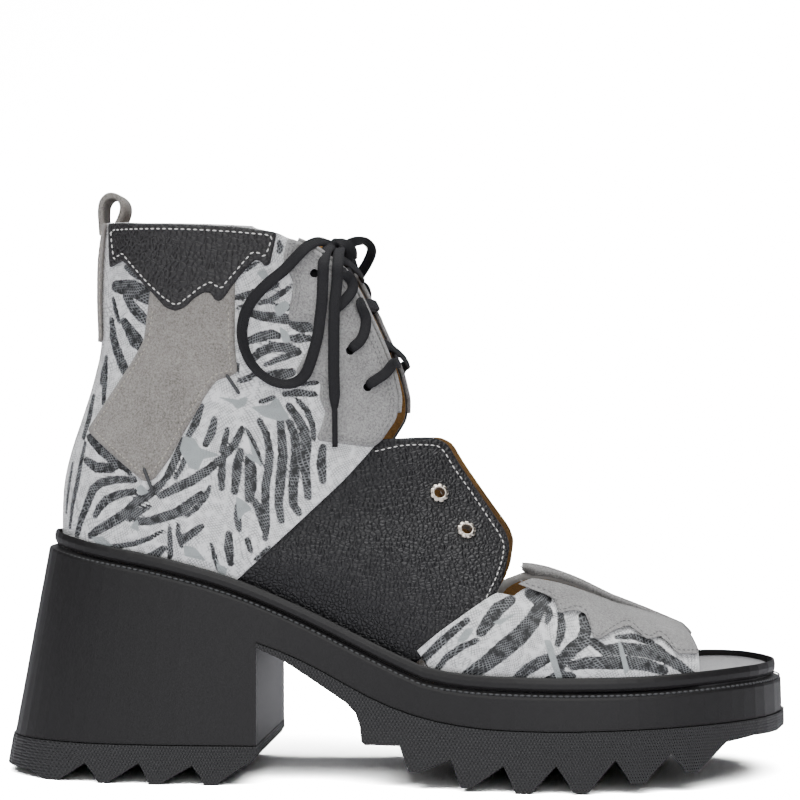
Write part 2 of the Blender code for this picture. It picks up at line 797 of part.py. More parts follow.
def make_upper(finish):
    """Quarters, instep band and toe vamp as one hollow wall, open wherever the boot is."""
    wall = shell("upper", WATERLINES, LINE_STEPS, -WALL, 0.0, finish)
    under = [(x, footbed(x) + 2 * GAP) for x in np.linspace(-124.0, 122.0, 40)]
    under = [*under, (122.0, 0.0), (-124.0, 0.0)]
    boolean(wall, side_prism("under_footbed", under), "DIFFERENCE")
    boolean(wall, side_prism("instep_opening", INSTEP_OPENING), "DIFFERENCE")
    boolean(wall, plan_prism("toe_slit", TOE_SLIT), "DIFFERENCE")
    boolean(wall, plan_prism("peep_toe", PEEP_OPENING, -20.0, 80.0), "DIFFERENCE")
    for side in (-1.0, 1.0):
        for place in EYELET_PLACES:
            centre, turned = surface_frame(*place, side)
            hole = [centre + turned @ Vector((EYELET_HOLE * math.cos(a), EYELET_HOLE * math.sin(a), h))
                    for h in (-6.0, 6.0) for a in np.linspace(0.0, math.tau, 12, endpoint=False)]
            faces = [tuple(range(12)), tuple(range(23, 11, -1))]
            faces += [(k, (k + 1) % 12, (k + 1) % 12 + 12, k + 12) for k in range(12)]
            boolean(wall, solid("eyelet_hole", hole, faces, None), "DIFFERENCE")
    return wall


def surface_frame(x, z, side):
    """Point of the upper's outer face and the rotation whose third axis is its outward normal."""
    wide = half_width(x, z, side)
    across = (half_width(x + 1.0, z, side) - half_width(x - 1.0, z, side)) / 2.0
    upward = (half_width(x, z + 1.0, side) - half_width(x, z - 1.0, side)) / 2.0
    normal = Vector((-across, side, -upward)).normalized()
    return Vector((x, side * wide, z)), normal.to_track_quat("Z", "Y").to_matrix()


def make_overlay(name, outline, side, finish, toe=False):
    """Thin leather piece over the upper: the form between two larger offsets, cut to its outline."""
    rows, steps = (WATERLINES[7:], LINE_STEPS[9:]) if toe else (WATERLINES[:11], LINE_STEPS)
    piece = shell(name, rows, steps, GAP, GAP + OVERLAY, finish, (side,))
    near, far = (-90.0, 0.0) if side < 0 else (0.0, 90.0)
    boolean(piece, side_prism("outline", outline, near, far), "INTERSECT")
    if toe:
        boolean(piece, plan_prism("toe_slit", TOE_SLIT), "DIFFERENCE")
        boolean(piece, plan_prism("peep_toe", PEEP_OPENING, -20.0, 80.0), "DIFFERENCE")
    return piece


def make_back_strip(finish):
    strip = shell("back_strip", WATERLINES[:6], LINE_STEPS[:7], GAP, GAP + OVERLAY, finish)
    return boolean(strip, side_prism("outline", BACK_STRIP), "INTERSECT")


def smooth_path(route, steps):
    """Points of a smooth curve through an open route."""
    route = [np.array(p, float) for p in route]
    path = []
    for k in range(len(route) - 1):
        b, c = route[k], route[k + 1]
        a = route[k - 1] if k else 2 * b - c
        d = route[k + 2] if k + 2 < len(route) else 2 * c - b
        for n in range(steps):
            u = n / steps
            path.append(0.5 * (2 * b + (c - a) * u + (2 * a - 5 * b + 4 * c - d) * u**2
                               + (3 * b - a - 3 * c + d) * u**3))
    path.append(route[-1])
    return path


def make_pull_loop(finish):
    """Suede strap that leaves the back strip, loops over the collar and ends inside it."""
    path = smooth_path(PULL_ROUTE, 2)
    points, faces = [], []
    for k, (x, z) in enumerate(path):
        before, after = path[max(k - 1, 0)], path[min(k + 1, len(path) - 1)]
        along = (after - before) / np.linalg.norm(after - before)
        out = np.array((-along[1], along[0])) * PULL_THICK / 2
        for side, across in ((-1, -1), (1, -1), (1, 1), (-1, 1)):
            points.append((x + out[0] * side, across * PULL_WIDE / 2, z + out[1] * side))
    for k in range(len(path) - 1):
        low, high = 4 * k, 4 * k + 4
        faces += [(low + n, low + (n + 1) % 4, high + (n + 1) % 4, high + n) for n in range(4)]
    faces += [(0, 1, 2, 3), tuple(4 * (len(path) - 1) + n for n in (3, 2, 1, 0))]
    return solid("pull_loop", points, faces, finish, 50.0)


def make_eyelet(name, x, z, side, finish):
    """Flat flower-shaped ring on the band, its petals scalloped round the rim."""
    centre, turned = surface_frame(x, z, side)
    count = EYELET_PETALS * 3
    points, faces = [], []
    for k in range(count):
        a = math.tau * k / count
        rim = EYELET_RIM * (1.0 + 0.05 * math.cos(EYELET_PETALS * a))
        for radius, height in ((EYELET_HOLE, 0.5), (rim, 0.5), (rim - 0.4, 1.2), (EYELET_HOLE, 1.3)):
            points.append(centre + turned @ Vector((radius * math.cos(a), radius * math.sin(a), height)))
    for k in range(count):
        low, high = 4 * k, 4 * ((k + 1) % count)
        faces += [(low + n, low + (n + 1) % 4, high + (n + 1) % 4, high + n) for n in range(4)]
    return solid(name, points, faces, finish, 60.0)


def lace_bar(name, start, end, finish):
    """Straight run of flat lace across the throat."""
    start, end = Vector(start), Vector(end)
    along = (end - start).normalized()
    front = Vector((1.0, 0.0, 0.45)).normalized()
    high = along.cross(front).normalized() * LACE_WIDE / 2
    thick = along.cross(high).normalized() * LACE_THICK / 2
    ring = ((-1, -0.6), (-0.6, -1), (0.6, -1), (1, -0.6), (1, 0.6), (0.6, 1), (-0.6, 1), (-1, 0.6))
    points = [p + high * a + thick * b for p in (start, end) for a, b in ring]
    faces = [tuple(range(8)), tuple(range(15, 7, -1))]
    faces += [(k, (k + 1) % 8, (k + 1) % 8 + 8, k + 8) for k in range(8)]
    return solid(name, points, faces, finish)


def make_lace_cross(name, low, high, finish):
    """Two runs of the lace that cross and press together at the middle of the throat."""
    (low_x, low_z), (high_x, high_z) = low, high
    cross = lace_bar(name, (low_x, -BAR_REACH, low_z), (high_x, BAR_REACH, high_z), finish)
    other = lace_bar("other", (low_x, BAR_REACH, low_z), (high_x, -BAR_REACH, high_z), finish)
    return boolean(cross, other, "UNION")


def make_cord(name, route, steps, finish):
    """Round cord along a smooth path, with closed ends."""
    path = smooth_path(route, steps)
    line = bpy.data.curves.new(name, "CURVE")
    line.dimensions = "3D"
    line.bevel_depth = CORD_RADIUS * MM
    line.bevel_resolution = 2
    line.use_fill_caps = True
    spline = line.splines.new("POLY")
    spline.points.add(len(path) - 1)
    for point, place in zip(spline.points, path):
        point.co = (*(float(c) * MM for c in place), 1.0)
    line.materials.append(finish)
    made = bpy.data.objects.new(name, line)
    bpy.context.collection.objects.link(made)
    return made


def make_tip(name, route, finish):
    """Stiff tip of the lace, straight on from its end."""
    start = Vector(route[-1]) + (Vector(route[-1]) - Vector(route[-2])).normalized() * GAP
    along = (Vector(route[-1]) - Vector(route[-2])).normalized()
    turned = along.to_track_quat("Z", "Y").to_matrix()
    points = [start + turned @ Vector((TIP_RADIUS * math.cos(a), TIP_RADIUS * math.sin(a), h))
              for h in (0.0, TIP_LENGTH) for a in np.linspace(0.0, math.tau, 10, endpoint=False)]
    faces = [tuple(range(10)), tuple(range(19, 9, -1))]
    faces += [(k, (k + 1) % 10, (k + 1) % 10 + 10, k + 10) for k in range(10)]
    return solid(name, points, faces, finish)


def make_knot(finish):
    """The bow's knot, a plain rounded lump."""
    mesh = bpy.data.meshes.new("lace_knot")
    work = bmesh.new()
    bmesh.ops.create_uvsphere(work, u_segments=12, v_segments=8, radius=1.0)
    for vertex in work.verts:
        vertex.co = (Vector(KNOT_PLACE) + Vector([c * r for c, r in zip(vertex.co, KNOT_RADII)])) * MM
    work.to_mesh(mesh)
    work.free()
    mesh.shade_smooth()
    mesh.materials.append(finish)
    made = bpy.data.objects.new("lace_knot", mesh)
    bpy.context.collection.objects.link(made)
    return made


def laid(route, side):
    """The bow's route on one side, kept clear of the pieces laid over the upper."""
    path = []
    for x, y, z in route:
        if -y > THROAT_HALF_WIDTH:
            skin, turned = surface_frame(x, z, side)
            y = -max(-y, abs(skin.y) + CORD_CLEAR / max(abs(turned.col[2].y), 0.5))
        path.append((x, -side * y, z))
    return path


FINE_RING = foot_ring(8)
HALF_OUTLINES = {}
RIBS = {}
SEAT_ROW = 10         # first section that stands on the footbed
SECTION_ROWS = section_rows()


def build():
    clear_scene()
    rubber = material("textured_rubber", (0.03, 0.03, 0.032), 0.6)
    unit = material("smooth_unit", (0.022, 0.022, 0.023), 0.42)
    zebra = material("zebra_leather", (0.55, 0.57, 0.58), 0.45)
    grain = material("black_grain_leather", (0.03, 0.03, 0.033), 0.5)
    suede = material("grey_suede", (0.3, 0.29, 0.27), 0.95)
    metal = material("eyelet_metal", (0.6, 0.56, 0.5), 0.35, 1.0)
    lace = material("black_lace", (0.03, 0.03, 0.034), 0.7)
    make_midsole(unit)
    make_outsole_forefoot(rubber)
    make_outsole_heel(rubber)
    make_rand(unit)
    make_insole(grain)
    make_upper(zebra)
    make_back_strip(suede)
    make_pull_loop(suede)
    make_knot(lace)
    for side, word in ((-1.0, "outer"), (1.0, "inner")):
        make_overlay(f"collar_patch_{word}", COLLAR_PATCH, side, grain)
        make_overlay(f"side_patch_{word}", SIDE_PATCH, side, suede)
        make_overlay(f"facing_{word}", FACING, side, suede)
        make_overlay(f"toe_patch_{word}", TOE_PATCH, side, suede, toe=True)
        for k, place in enumerate(EYELET_PLACES):
            make_eyelet(f"eyelet_{word}_{k + 1}", *place, side, metal)
        loop, end = laid(LOOP_ROUTE, side), laid(END_ROUTE, side)
        make_cord(f"lace_loop_{word}", loop, 2, lace)
        make_cord(f"lace_end_{word}", end, 1, lace)
        make_tip(f"lace_tip_{word}", end, lace)
    for k, (low_x, low_z, high_x, high_z) in enumerate(LACE_CROSSES):
        make_lace_cross(f"lace_cross_{k + 1}", (low_x, low_z), (high_x, high_z), lace)
    for made in bpy.data.objects:
        made.data.transform(Matrix.Translation((-CENTRE_X * MM, -CENTRE_Y * MM, 0.0)))


build()
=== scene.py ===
"""Open-toed leather boot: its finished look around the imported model."""

import math

import bmesh
import bpy
import numpy as np
from mathutils import Matrix, Vector
from mathutils.geometry import delaunay_2d_cdt


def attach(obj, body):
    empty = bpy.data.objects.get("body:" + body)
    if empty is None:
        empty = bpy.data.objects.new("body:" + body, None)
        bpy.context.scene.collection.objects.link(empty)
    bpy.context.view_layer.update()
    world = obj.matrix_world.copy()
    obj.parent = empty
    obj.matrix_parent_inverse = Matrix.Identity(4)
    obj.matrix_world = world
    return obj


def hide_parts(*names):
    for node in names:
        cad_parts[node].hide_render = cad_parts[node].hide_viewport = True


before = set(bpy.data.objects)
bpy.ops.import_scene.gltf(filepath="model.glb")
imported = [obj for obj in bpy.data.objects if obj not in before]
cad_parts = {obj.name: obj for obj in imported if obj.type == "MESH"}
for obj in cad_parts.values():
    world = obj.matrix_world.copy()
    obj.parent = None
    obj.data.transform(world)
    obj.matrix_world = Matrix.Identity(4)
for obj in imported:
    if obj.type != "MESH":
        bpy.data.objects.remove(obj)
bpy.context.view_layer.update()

# CAMERA
# One long lens, level with the boot's middle and turned a little towards the heel.
MM = 0.001
CENTRE = np.array((-2.45, -1.37, 0.0))      # the tables below are drawn from here, in millimetres
yaw, pitch, roll = math.radians(5.1425), math.radians(0.792), math.radians(-0.273)
ahead = Vector((-math.sin(yaw) * math.cos(pitch), math.cos(yaw) * math.cos(pitch), math.sin(pitch)))
right = ahead.cross(Vector((0, 0, 1))).normalized()
up = right.cross(ahead)
right, up = right * math.cos(roll) + up * math.sin(roll), up * math.cos(roll) - right * math.sin(roll)
camera = bpy.data.objects.new("camera", bpy.data.cameras.new("camera"))
bpy.context.collection.objects.link(camera)
camera.data.lens = 93.88
camera.data.clip_start = 0.05
EYE = (0.06945, -0.73363, 0.1205)
turned = Matrix((right, up, -ahead)).transposed().to_4x4()
camera.matrix_world = Matrix.Translation(EYE) @ turned
bpy.context.scene.camera = camera


# UPPER
# The form every leather piece follows: ribs fanned from the heel seat to the toe, in the side view.
FOOT = (
    # x, outer half-width, inner half-width
    (-117.0, 10.5, 10.5), (-109.5, 18.5, 18.5), (-97.0, 25.0, 24.5), (-78.0, 28.4, 27.2),
    (-55.0, 29.0, 26.8), (-30.0, 29.2, 25.4), (-5.0, 31.4, 25.6), (20.0, 36.0, 29.0),
    (43.0, 39.8, 33.8), (63.0, 40.5, 36.8), (82.0, 38.4, 37.8), (98.0, 33.2, 36.4),
    (111.5, 25.2, 32.6), (122.0, 14.0, 25.8),
)
FOOT_HEEL = (-120.2, 0.0)
FOOT_TOE = (129.3, 9.0)
EDGE = (
    # x, height of the platform's top edge
    (-125.0, 79.2), (-105.0, 75.0), (-80.0, 70.4), (-54.0, 63.2), (-29.0, 52.8), (-7.0, 42.2), (3.5, 37.4),
    (12.0, 34.0), (25.0, 32.0), (45.0, 31.2), (70.0, 31.2), (88.0, 31.6), (104.0, 32.4),
    (119.0, 33.0), (137.0, 32.6),
)
RIBS = (
    # base x, base z, ridge x, ridge z, belly outer, belly inner, belly at, round
    # a base z of -1 is the footbed's
    (-101.4, 206.0, -16.0, 196.0, 34.4, 33.2, 0.47, 1.0),
    (-103.4, 194.0, -11.5, 185.0, 34.0, 32.8, 0.47, 1.0),
    (-105.4, 181.0, -6.0, 171.0, 33.0, 31.8, 0.47, 1.0),
    (-105.8, 165.0, 1.0, 157.0, 31.8, 30.6, 0.46, 1.0),
    (-105.6, 151.0, 7.5, 144.0, 31.2, 29.8, 0.44, 1.0),
    (-108.4, 138.0, 12.0, 134.0, 31.0, 29.4, 0.42, 1.0),
    (-112.2, 126.0, 16.5, 127.5, 31.0, 29.4, 0.40, 1.0),
    (-116.2, 114.5, 21.0, 123.0, 31.4, 29.6, 0.38, 0.85),
    (-119.0, 104.0, 25.0, 118.5, 31.8, 29.8, 0.37, 0.6),
    (-120.1, 94.0, 29.0, 113.5, 32.0, 29.8, 0.36, 0.3),
    (-120.2, -1.0, 32.5, 108.5, 32.0, 29.6, 0.36, 0.0),
    (-118.2, -1.0, 35.5, 104.5, 32.0, 29.4, 0.36, 0.0),
    (-113.0, -1.0, 38.0, 101.0, 32.0, 29.4, 0.36, 0.0),
    (-103.0, -1.0, 40.5, 97.5, 32.2, 29.4, 0.36, 0.0),
    (-88.0, -1.0, 43.0, 94.0, 33.0, 29.8, 0.36, 0.0),
    (-68.0, -1.0, 45.5, 90.5, 33.8, 30.0, 0.36, 0.0),
    (-45.0, -1.0, 48.0, 86.5, 34.4, 30.2, 0.38, 0.0),
    (-20.0, -1.0, 50.5, 82.0, 35.6, 31.2, 0.40, 0.0),
    (5.0, -1.0, 54.0, 77.0, 38.0, 32.8, 0.40, 0.0),
    (25.0, -1.0, 60.0, 71.5, 40.6, 35.2, 0.38, 0.0),
    (42.0, -1.0, 68.0, 66.0, 42.4, 37.6, 0.36, 0.0),
    (57.0, -1.0, 76.5, 61.0, 42.8, 39.0, 0.34, 0.0),
    (71.0, -1.0, 85.0, 57.2, 41.8, 39.6, 0.32, 0.0),
    (83.0, -1.0, 92.0, 54.2, 39.6, 39.4, 0.30, 0.0),
    (94.0, -1.0, 98.5, 51.4, 36.0, 38.4, 0.28, 0.0),
    (104.0, -1.0, 104.5, 48.6, 31.0, 36.0, 0.26, 0.0),
    (112.0, -1.0, 110.0, 46.0, 25.8, 33.2, 0.24, 0.0),
)
LINES = (
    # level lines of the upper
    # rib at the back, rib at the ridge, height at the open front or -1, slope followed
    (0.0, 0.0, -1, 0.0), (1.0, 1.0, -1, 0.0), (2.0, 2.0, -1, 0.0), (3.0, 3.0, -1, 0.0), (4.0, 4.2, -1, 0.05),
    (4.8, 6.0, -1, 0.12), (5.6, 8.5, -1, 0.2), (6.3, 11.0, -1, 0.3), (7.0, 14.0, -1, 0.42),
    (7.7, 17.0, -1, 0.55), (8.3, 19.5, -1, 0.7), (8.8, 21.5, -1, 0.82), (9.2, 23.5, -1, 0.92),
    (9.5, 26.0, -1, 1.0), (9.75, 26.0, 5.0, 1.0), (10.0, 26.0, 0.0, 1.0),
)
WALL = 1.8


def smooth(rows, x, column=1):
    """A table's column read smoothly at x, which may be an array."""
    xs = np.array([row[0] for row in rows], float)
    ys = np.array([row[column] for row in rows], float)
    x = np.clip(x, xs[0], xs[-1])
    slopes = np.gradient(ys, xs)
    k = np.clip(np.searchsorted(xs, x) - 1, 0, len(xs) - 2)
    span = xs[k + 1] - xs[k]
    u = (x - xs[k]) / span
    value = (2 * u**3 - 3 * u**2 + 1) * ys[k] + (3 * u**2 - 2 * u**3) * ys[k + 1]
    return value + span * ((u**3 - 2 * u**2 + u) * slopes[k] + (u**3 - u**2) * slopes[k + 1])


def closed_curve(points, steps):
    """Smooth ring through points."""
    p = np.array(points, float)
    ring = []
    for k in range(len(p)):
        a, b, c, d = p[k - 1], p[k], p[(k + 1) % len(p)], p[(k + 2) % len(p)]
        before, along, after = (max(np.linalg.norm(n - m), 1e-6) for m, n in ((a, b), (b, c), (c, d)))
        leave = ((c - b) / along + (b - a) / before) / 2
        reach = ((d - c) / after + (c - b) / along) / 2
        for u in np.arange(steps) / steps:
            ring.append((2 * u**3 - 3 * u**2 + 1) * b + (3 * u**2 - 2 * u**3) * c
                        + along * ((u**3 - 2 * u**2 + u) * leave + (u**3 - u**2) * reach))
    return np.array(ring)


def grow(ring, distance):
    """The ring moved outwards in its plane by a distance, or by one distance a point."""
    along = np.roll(ring, -1, 0) - np.roll(ring, 1, 0)
    out = np.stack((along[:, 1], -along[:, 0]), 1) / np.linalg.norm(along, axis=1)[:, None]
    return ring + out * (np.ones(len(ring)) * distance)[:, None]


def foot_ring(steps):
    outer = [(x, -half) for x, half, _ in FOOT]
    inner = [(x, half) for x, _, half in FOOT[::-1]]
    return closed_curve([FOOT_HEEL, *outer, FOOT_TOE, *inner], steps)


def edge_height(x):
    return smooth(EDGE, x)


def footbed(x):
    return smooth(EDGE, x) + 1.8


FINE_RING = foot_ring(8)
RIB_ROWS = [(k, r[0], footbed(r[0]) - 1.0 if r[1] < 0 else r[1], *r[2:]) for k, r in enumerate(RIBS)]
RIB_PLACES = np.arange(0.0, 26.01, 0.25)


def rib_values(places, offset=0.0):
    """Ribs at the given places in the table, their ends moved out by offset."""
    values = np.stack([smooth(RIB_ROWS, places, column) for column in range(1, 9)], 1)
    values[:, 7] = np.clip(values[:, 7], 0.0, 1.0)
    after, before = np.minimum(places + 0.5, 26), np.maximum(places - 0.5, 0)
    along = np.stack([smooth(RIB_ROWS, after, c) - smooth(RIB_ROWS, before, c) for c in (3, 4)], 1)
    out = np.stack((-along[:, 1], along[:, 0]), 1) / np.linalg.norm(along, axis=1)[:, None]
    values[:, 0] -= offset * np.clip((13.0 - places) / 3.0, 0.0, 1.0)
    values[:, 2:4] += out * offset
    return values


def width(x, z, side, offset=0.0):
    """Half-width of the form at places of the side view; side is -1 outside and 1 inside."""
    x, z = np.broadcast_arrays(np.asarray(x, float), np.asarray(z, float))
    shape, x, z = x.shape, x.ravel(), z.ravel()
    ribs = rib_values(RIB_PLACES, offset)
    ax, az = ribs[:, 2] - ribs[:, 0], ribs[:, 3] - ribs[:, 1]
    ring = grow(FINE_RING, offset)
    half = len(ring) // 2
    part = ring[: half + 1] if side < 0 else np.vstack((ring[:1], ring[half:][::-1]))
    result = np.empty(len(x))
    for start in range(0, len(x), 20000):
        px, pz = x[start:start + 20000], z[start:start + 20000]
        under = (ax * (pz[:, None] - ribs[:, 1]) - az * (px[:, None] - ribs[:, 0])) / np.hypot(ax, az)
        high = np.where((under >= 0).any(1), (under >= 0).argmax(1), len(ribs) - 1).clip(1)
        k = np.arange(len(px))
        a, b = under[k, high - 1], under[k, high]
        share = np.clip(np.divide(a, a - b, out=np.zeros_like(a), where=a != b), 0, 1)[:, None]
        v = ribs[high - 1] * (1 - share) + ribs[high] * share
        rx, rz = v[:, 2] - v[:, 0], v[:, 3] - v[:, 1]
        t = np.clip(((px - v[:, 0]) * rx + (pz - v[:, 1]) * rz) / (rx**2 + rz**2), 0, 1)
        belly = (v[:, 4] if side < 0 else v[:, 5]) + offset
        front = belly * np.maximum(1 - np.clip((t - v[:, 6]) / (1 - v[:, 6]), 0, 1)**2.3, 0)**(1 / 2.3)
        back = 1 - np.clip(t / v[:, 6], 0, 1)
        arched = belly * np.maximum(1 - back**2.3, 0)**(1 / 2.3)
        eased = 0.5 - 0.5 * np.cos(np.pi * (1 - back))
        shift = np.where(v[:, 1] < footbed(v[:, 0]) + 1.0, 0.0, FOOT_HEEL[0] - offset - v[:, 0])
        plan = np.interp(v[:, 0] + rx * t + shift, part[:, 0], part[:, 1] * side)
        rear = v[:, 7] * arched + (1 - v[:, 7]) * (plan * (1 - eased) + belly * eased)
        result[start:start + 20000] = np.where(t >= v[:, 6], front, rear)
    return result.reshape(shape)


def on_form(points, side, offset):
    """Side-view points laid on the form at an offset, as 3-D points."""
    p = np.array(points, float)
    return np.stack((p[:, 0], side * width(p[:, 0], p[:, 1], side, offset), p[:, 1]), 1)


def make_mesh(name, points, faces, finishes, slots=None, sharp=None):
    """Object from points in the tables' millimetres, outward and smooth, with a material number a face."""
    mesh = bpy.data.meshes.new(name)
    mesh.from_pydata(((np.asarray(points, float) - CENTRE) * MM).tolist(), [], faces)
    for finish in finishes:
        mesh.materials.append(finish)
    if slots is not None:
        mesh.polygons.foreach_set("material_index", np.asarray(slots, np.int32))
    work = bmesh.new()
    work.from_mesh(mesh)
    bmesh.ops.recalc_face_normals(work, faces=work.faces)
    work.to_mesh(mesh)
    work.free()
    mesh.shade_smooth()
    if sharp:
        mesh.set_sharp_from_angle(angle=math.radians(sharp))
    made = bpy.data.objects.new(name, mesh)
    bpy.context.collection.objects.link(made)
    return made


def cut_prism(outline, finish, across="y", span=(-90.0, 90.0)):
    """Straight block over an outline of the side view or of the plan, or one block over each of several."""
    points, faces = [], []
    for ring in outline if np.ndim(outline[0]) == 2 else [outline]:
        first, count = len(points), len(ring)
        if across == "y":
            points += [(x, y, z) for y in span for x, z in ring]
        else:
            points += [(x, y, z) for z in (-20.0, 240.0) for x, y in ring]
        faces.append(tuple(range(first, first + count)))
        faces.append(tuple(range(first + 2 * count - 1, first + count - 1, -1)))
        faces += [(first + k, first + (k + 1) % count, first + (k + 1) % count + count, first + k + count)
                  for k in range(count)]
    return make_mesh("cutter", points, faces, [finish])


def cut(target, cutter, operation="DIFFERENCE"):
    step = target.modifiers.new("cut", "BOOLEAN")
    step.operation = operation
    step.solver = "EXACT"
    step.object = cutter
    step.material_mode = "TRANSFER"
    bpy.context.view_layer.update()
    done = bpy.data.meshes.new_from_object(target.evaluated_get(bpy.context.evaluated_depsgraph_get()))
    target.modifiers.clear()
    target.data = done
    bpy.data.objects.remove(cutter, do_unlink=True)
    return target


def wall(name, first, last, tall, wide, low, high, finishes):
    """Closed leather wall between two offsets of the form, over the level lines first to last."""
    places = np.linspace(first, last, tall)
    spread = (0.0, 0.006, 0.02, 0.045, 0.085, 0.14, 0.22, 0.31, 0.41, 0.51, 0.61, 0.7, 0.78, 0.85, 0.91,
              0.955, 0.985, 1.0)
    t = np.interp(np.linspace(0, 17, wide), range(18), spread)
    layers = []
    for offset in (low, high):
        lines = []
        for back_at, ridge_at, front_up, follow in LINES:
            back, ridge = rib_values(np.array((back_at, ridge_at)), offset)
            end = ridge[2:4] if front_up < 0 else (112.0, footbed(112.0) - 1.0 + front_up)
            x = back[0] + (end[0] - back[0]) * t
            lift = (back[1] - footbed(back[0])) * (1 - t) + (end[1] - footbed(end[0])) * t
            straight = back[1] + (end[1] - back[1]) * t
            lines.append((x, straight * (1 - follow) + (footbed(x) + lift) * follow))
        rows = [[(k, line[axis][c]) for k, line in enumerate(lines)] for axis in (0, 1) for c in range(wide)]
        x, z = (np.stack([smooth(rows[axis * wide + c], places) for c in range(wide)], 1) for axis in (0, 1))
        for side in (-1, 1):
            y = np.maximum(width(x, z, side, offset), 0.05)
            y[:, 0] = 0.0
            y[places <= 13, -1] = 0.0
            layers.append(np.stack((x, side * y, z), 2))
    grid = np.arange(tall * wide).reshape(tall, wide)
    faces, slots = [], []
    for half in (0, 1):
        inside, outside = half * grid.size, (half + 2) * grid.size
        for layer, slot in ((outside, 0), (inside, 1)):
            quads = np.stack((grid[:-1, :-1], grid[1:, :-1], grid[1:, 1:], grid[:-1, 1:]), 2)
            quads = quads.reshape(-1, 4) + layer
            faces += quads.tolist()
            slots += [slot] * len(quads)
        for row in (grid[0], grid[-1]):
            faces += [(a + inside, b + inside, b + outside, a + outside) for a, b in zip(row, row[1:])]
            slots += [2] * (wide - 1)
        open_end = [(a, b) for k, (a, b) in enumerate(zip(grid[:, -1], grid[1:, -1])) if places[k + 1] > 13]
        faces += [(a + inside, b + inside, b + outside, a + outside) for a, b in open_end]
        slots += [2] * len(open_end)
    points = np.concatenate([layer.reshape(-1, 3) for layer in layers])
    made = make_mesh(name, points, faces, finishes, slots)
    work = bmesh.new()
    work.from_mesh(made.data)
    bmesh.ops.remove_doubles(work, verts=work.verts, dist=1e-6)
    bmesh.ops.recalc_face_normals(work, faces=work.faces)
    work.to_mesh(made.data)
    work.free()
    return made


# Shared looks of the leathers. Each group gives only masks and values; every material sets its own shader.
def node_group(name, inputs, outputs):
    made = bpy.data.node_groups.new(name, "ShaderNodeTree")
    for label, kind, value in inputs:
        made.interface.new_socket(label, in_out="INPUT", socket_type=kind).default_value = value
    for label, kind in outputs:
        made.interface.new_socket(label, in_out="OUTPUT", socket_type=kind)
    return made, made.nodes.new("NodeGroupInput"), made.nodes.new("NodeGroupOutput")


def add(tree, kind, **sockets):
    """A node with its inputs set or linked by name, and its properties by lower-case name."""
    node = tree.nodes.new(kind)
    for label, value in sockets.items():
        if hasattr(node, label):
            setattr(node, label, value)
            continue
        label = label.replace("_", " ") if label.replace("_", " ") in node.inputs else label
        numbered = label[0] == "i" and label[1:].isdigit()
        socket = node.inputs[int(label[1:])] if numbered else node.inputs[label]
        if isinstance(value, bpy.types.NodeSocket):
            tree.links.new(value, socket)
        else:
            socket.default_value = value
    return node


def math_node(tree, operation, a, b=0.0, c=0.0, clamp=False):
    return add(tree, "ShaderNodeMath", operation=operation, use_clamp=clamp, i0=a, i1=b, i2=c).outputs[0]


def mix_colour(tree, share, a, b):
    node = add(tree, "ShaderNodeMix", data_type="RGBA", i0=share, i6=a, i7=b)
    return node.outputs[2]


# Pebble grain: rounded cells a little over a millimetre wide, parted by fine creases.
grain, g_in, g_out = node_group("pebble_grain", (("Scale", "NodeSocketFloat", 800.0),),
                                (("Height", "NodeSocketFloat"),))
where = add(grain, "ShaderNodeTexCoord").outputs["Object"]
bent = add(grain, "ShaderNodeTexNoise", Vector=where, Scale=300.0, Detail=2.0)
bent = add(grain, "ShaderNodeVectorMath", operation="MULTIPLY_ADD", i0=bent.outputs["Color"],
           i1=(0.0012,) * 3, i2=where)
cells = add(grain, "ShaderNodeTexVoronoi", feature="DISTANCE_TO_EDGE", Vector=bent.outputs[0],
            Scale=g_in.outputs["Scale"], Randomness=1.0)
rise = math_node(grain, "MULTIPLY", cells.outputs["Distance"], 2.4, clamp=True)
rise = math_node(grain, "POWER", rise, 0.45)
fine = add(grain, "ShaderNodeTexNoise", Vector=where, Scale=2600.0, Detail=3.0)
grain.links.new(math_node(grain, "MULTIPLY_ADD", fine.outputs["Fac"], 0.25, rise), g_out.inputs["Height"])

# Suede nap: speckled light and dark fibre ends over broad soft clouds.
nap, n_in, n_out = node_group("suede_nap", (("Scale", "NodeSocketFloat", 2200.0),),
                              (("Shade", "NodeSocketFloat"), ("Height", "NodeSocketFloat")))
where = add(nap, "ShaderNodeTexCoord").outputs["Object"]
fibre = add(nap, "ShaderNodeTexNoise", Vector=where, Scale=n_in.outputs["Scale"], Detail=4.0, Roughness=0.8)
cloud = add(nap, "ShaderNodeTexNoise", Vector=where, Scale=90.0, Detail=4.0)
shade = math_node(nap, "MULTIPLY_ADD", math_node(nap, "SUBTRACT", fibre.outputs["Fac"], 0.5), 2.6, 0.5)
cloud = math_node(nap, "SUBTRACT", cloud.outputs["Fac"], 0.5)
shade = math_node(nap, "MULTIPLY_ADD", cloud, 0.55, shade, clamp=True)
nap.links.new(shade, n_out.inputs["Shade"])
nap.links.new(fibre.outputs["Fac"], n_out.inputs["Height"])


def new_material(name, roughness, **values):
    made = bpy.data.materials.new(name)
    made.use_nodes = True
    shader = made.node_tree.nodes["Principled BSDF"]
    shader.inputs["Roughness"].default_value = roughness
    for label, value in values.items():
        shader.inputs[label.replace("_", " ")].default_value = value
    return made, made.node_tree, shader


def use_group(tree, group, **values):
    node = tree.nodes.new("ShaderNodeGroup")
    node.node_tree = group
    for label, value in values.items():
        node.inputs[label].default_value = value
    return node


def bump(tree, shader, height, distance, strength=1.0):
    made = add(tree, "ShaderNodeBump", Height=height, Distance=distance, Strength=strength)
    tree.links.new(made.outputs[0], shader.inputs["Normal"])


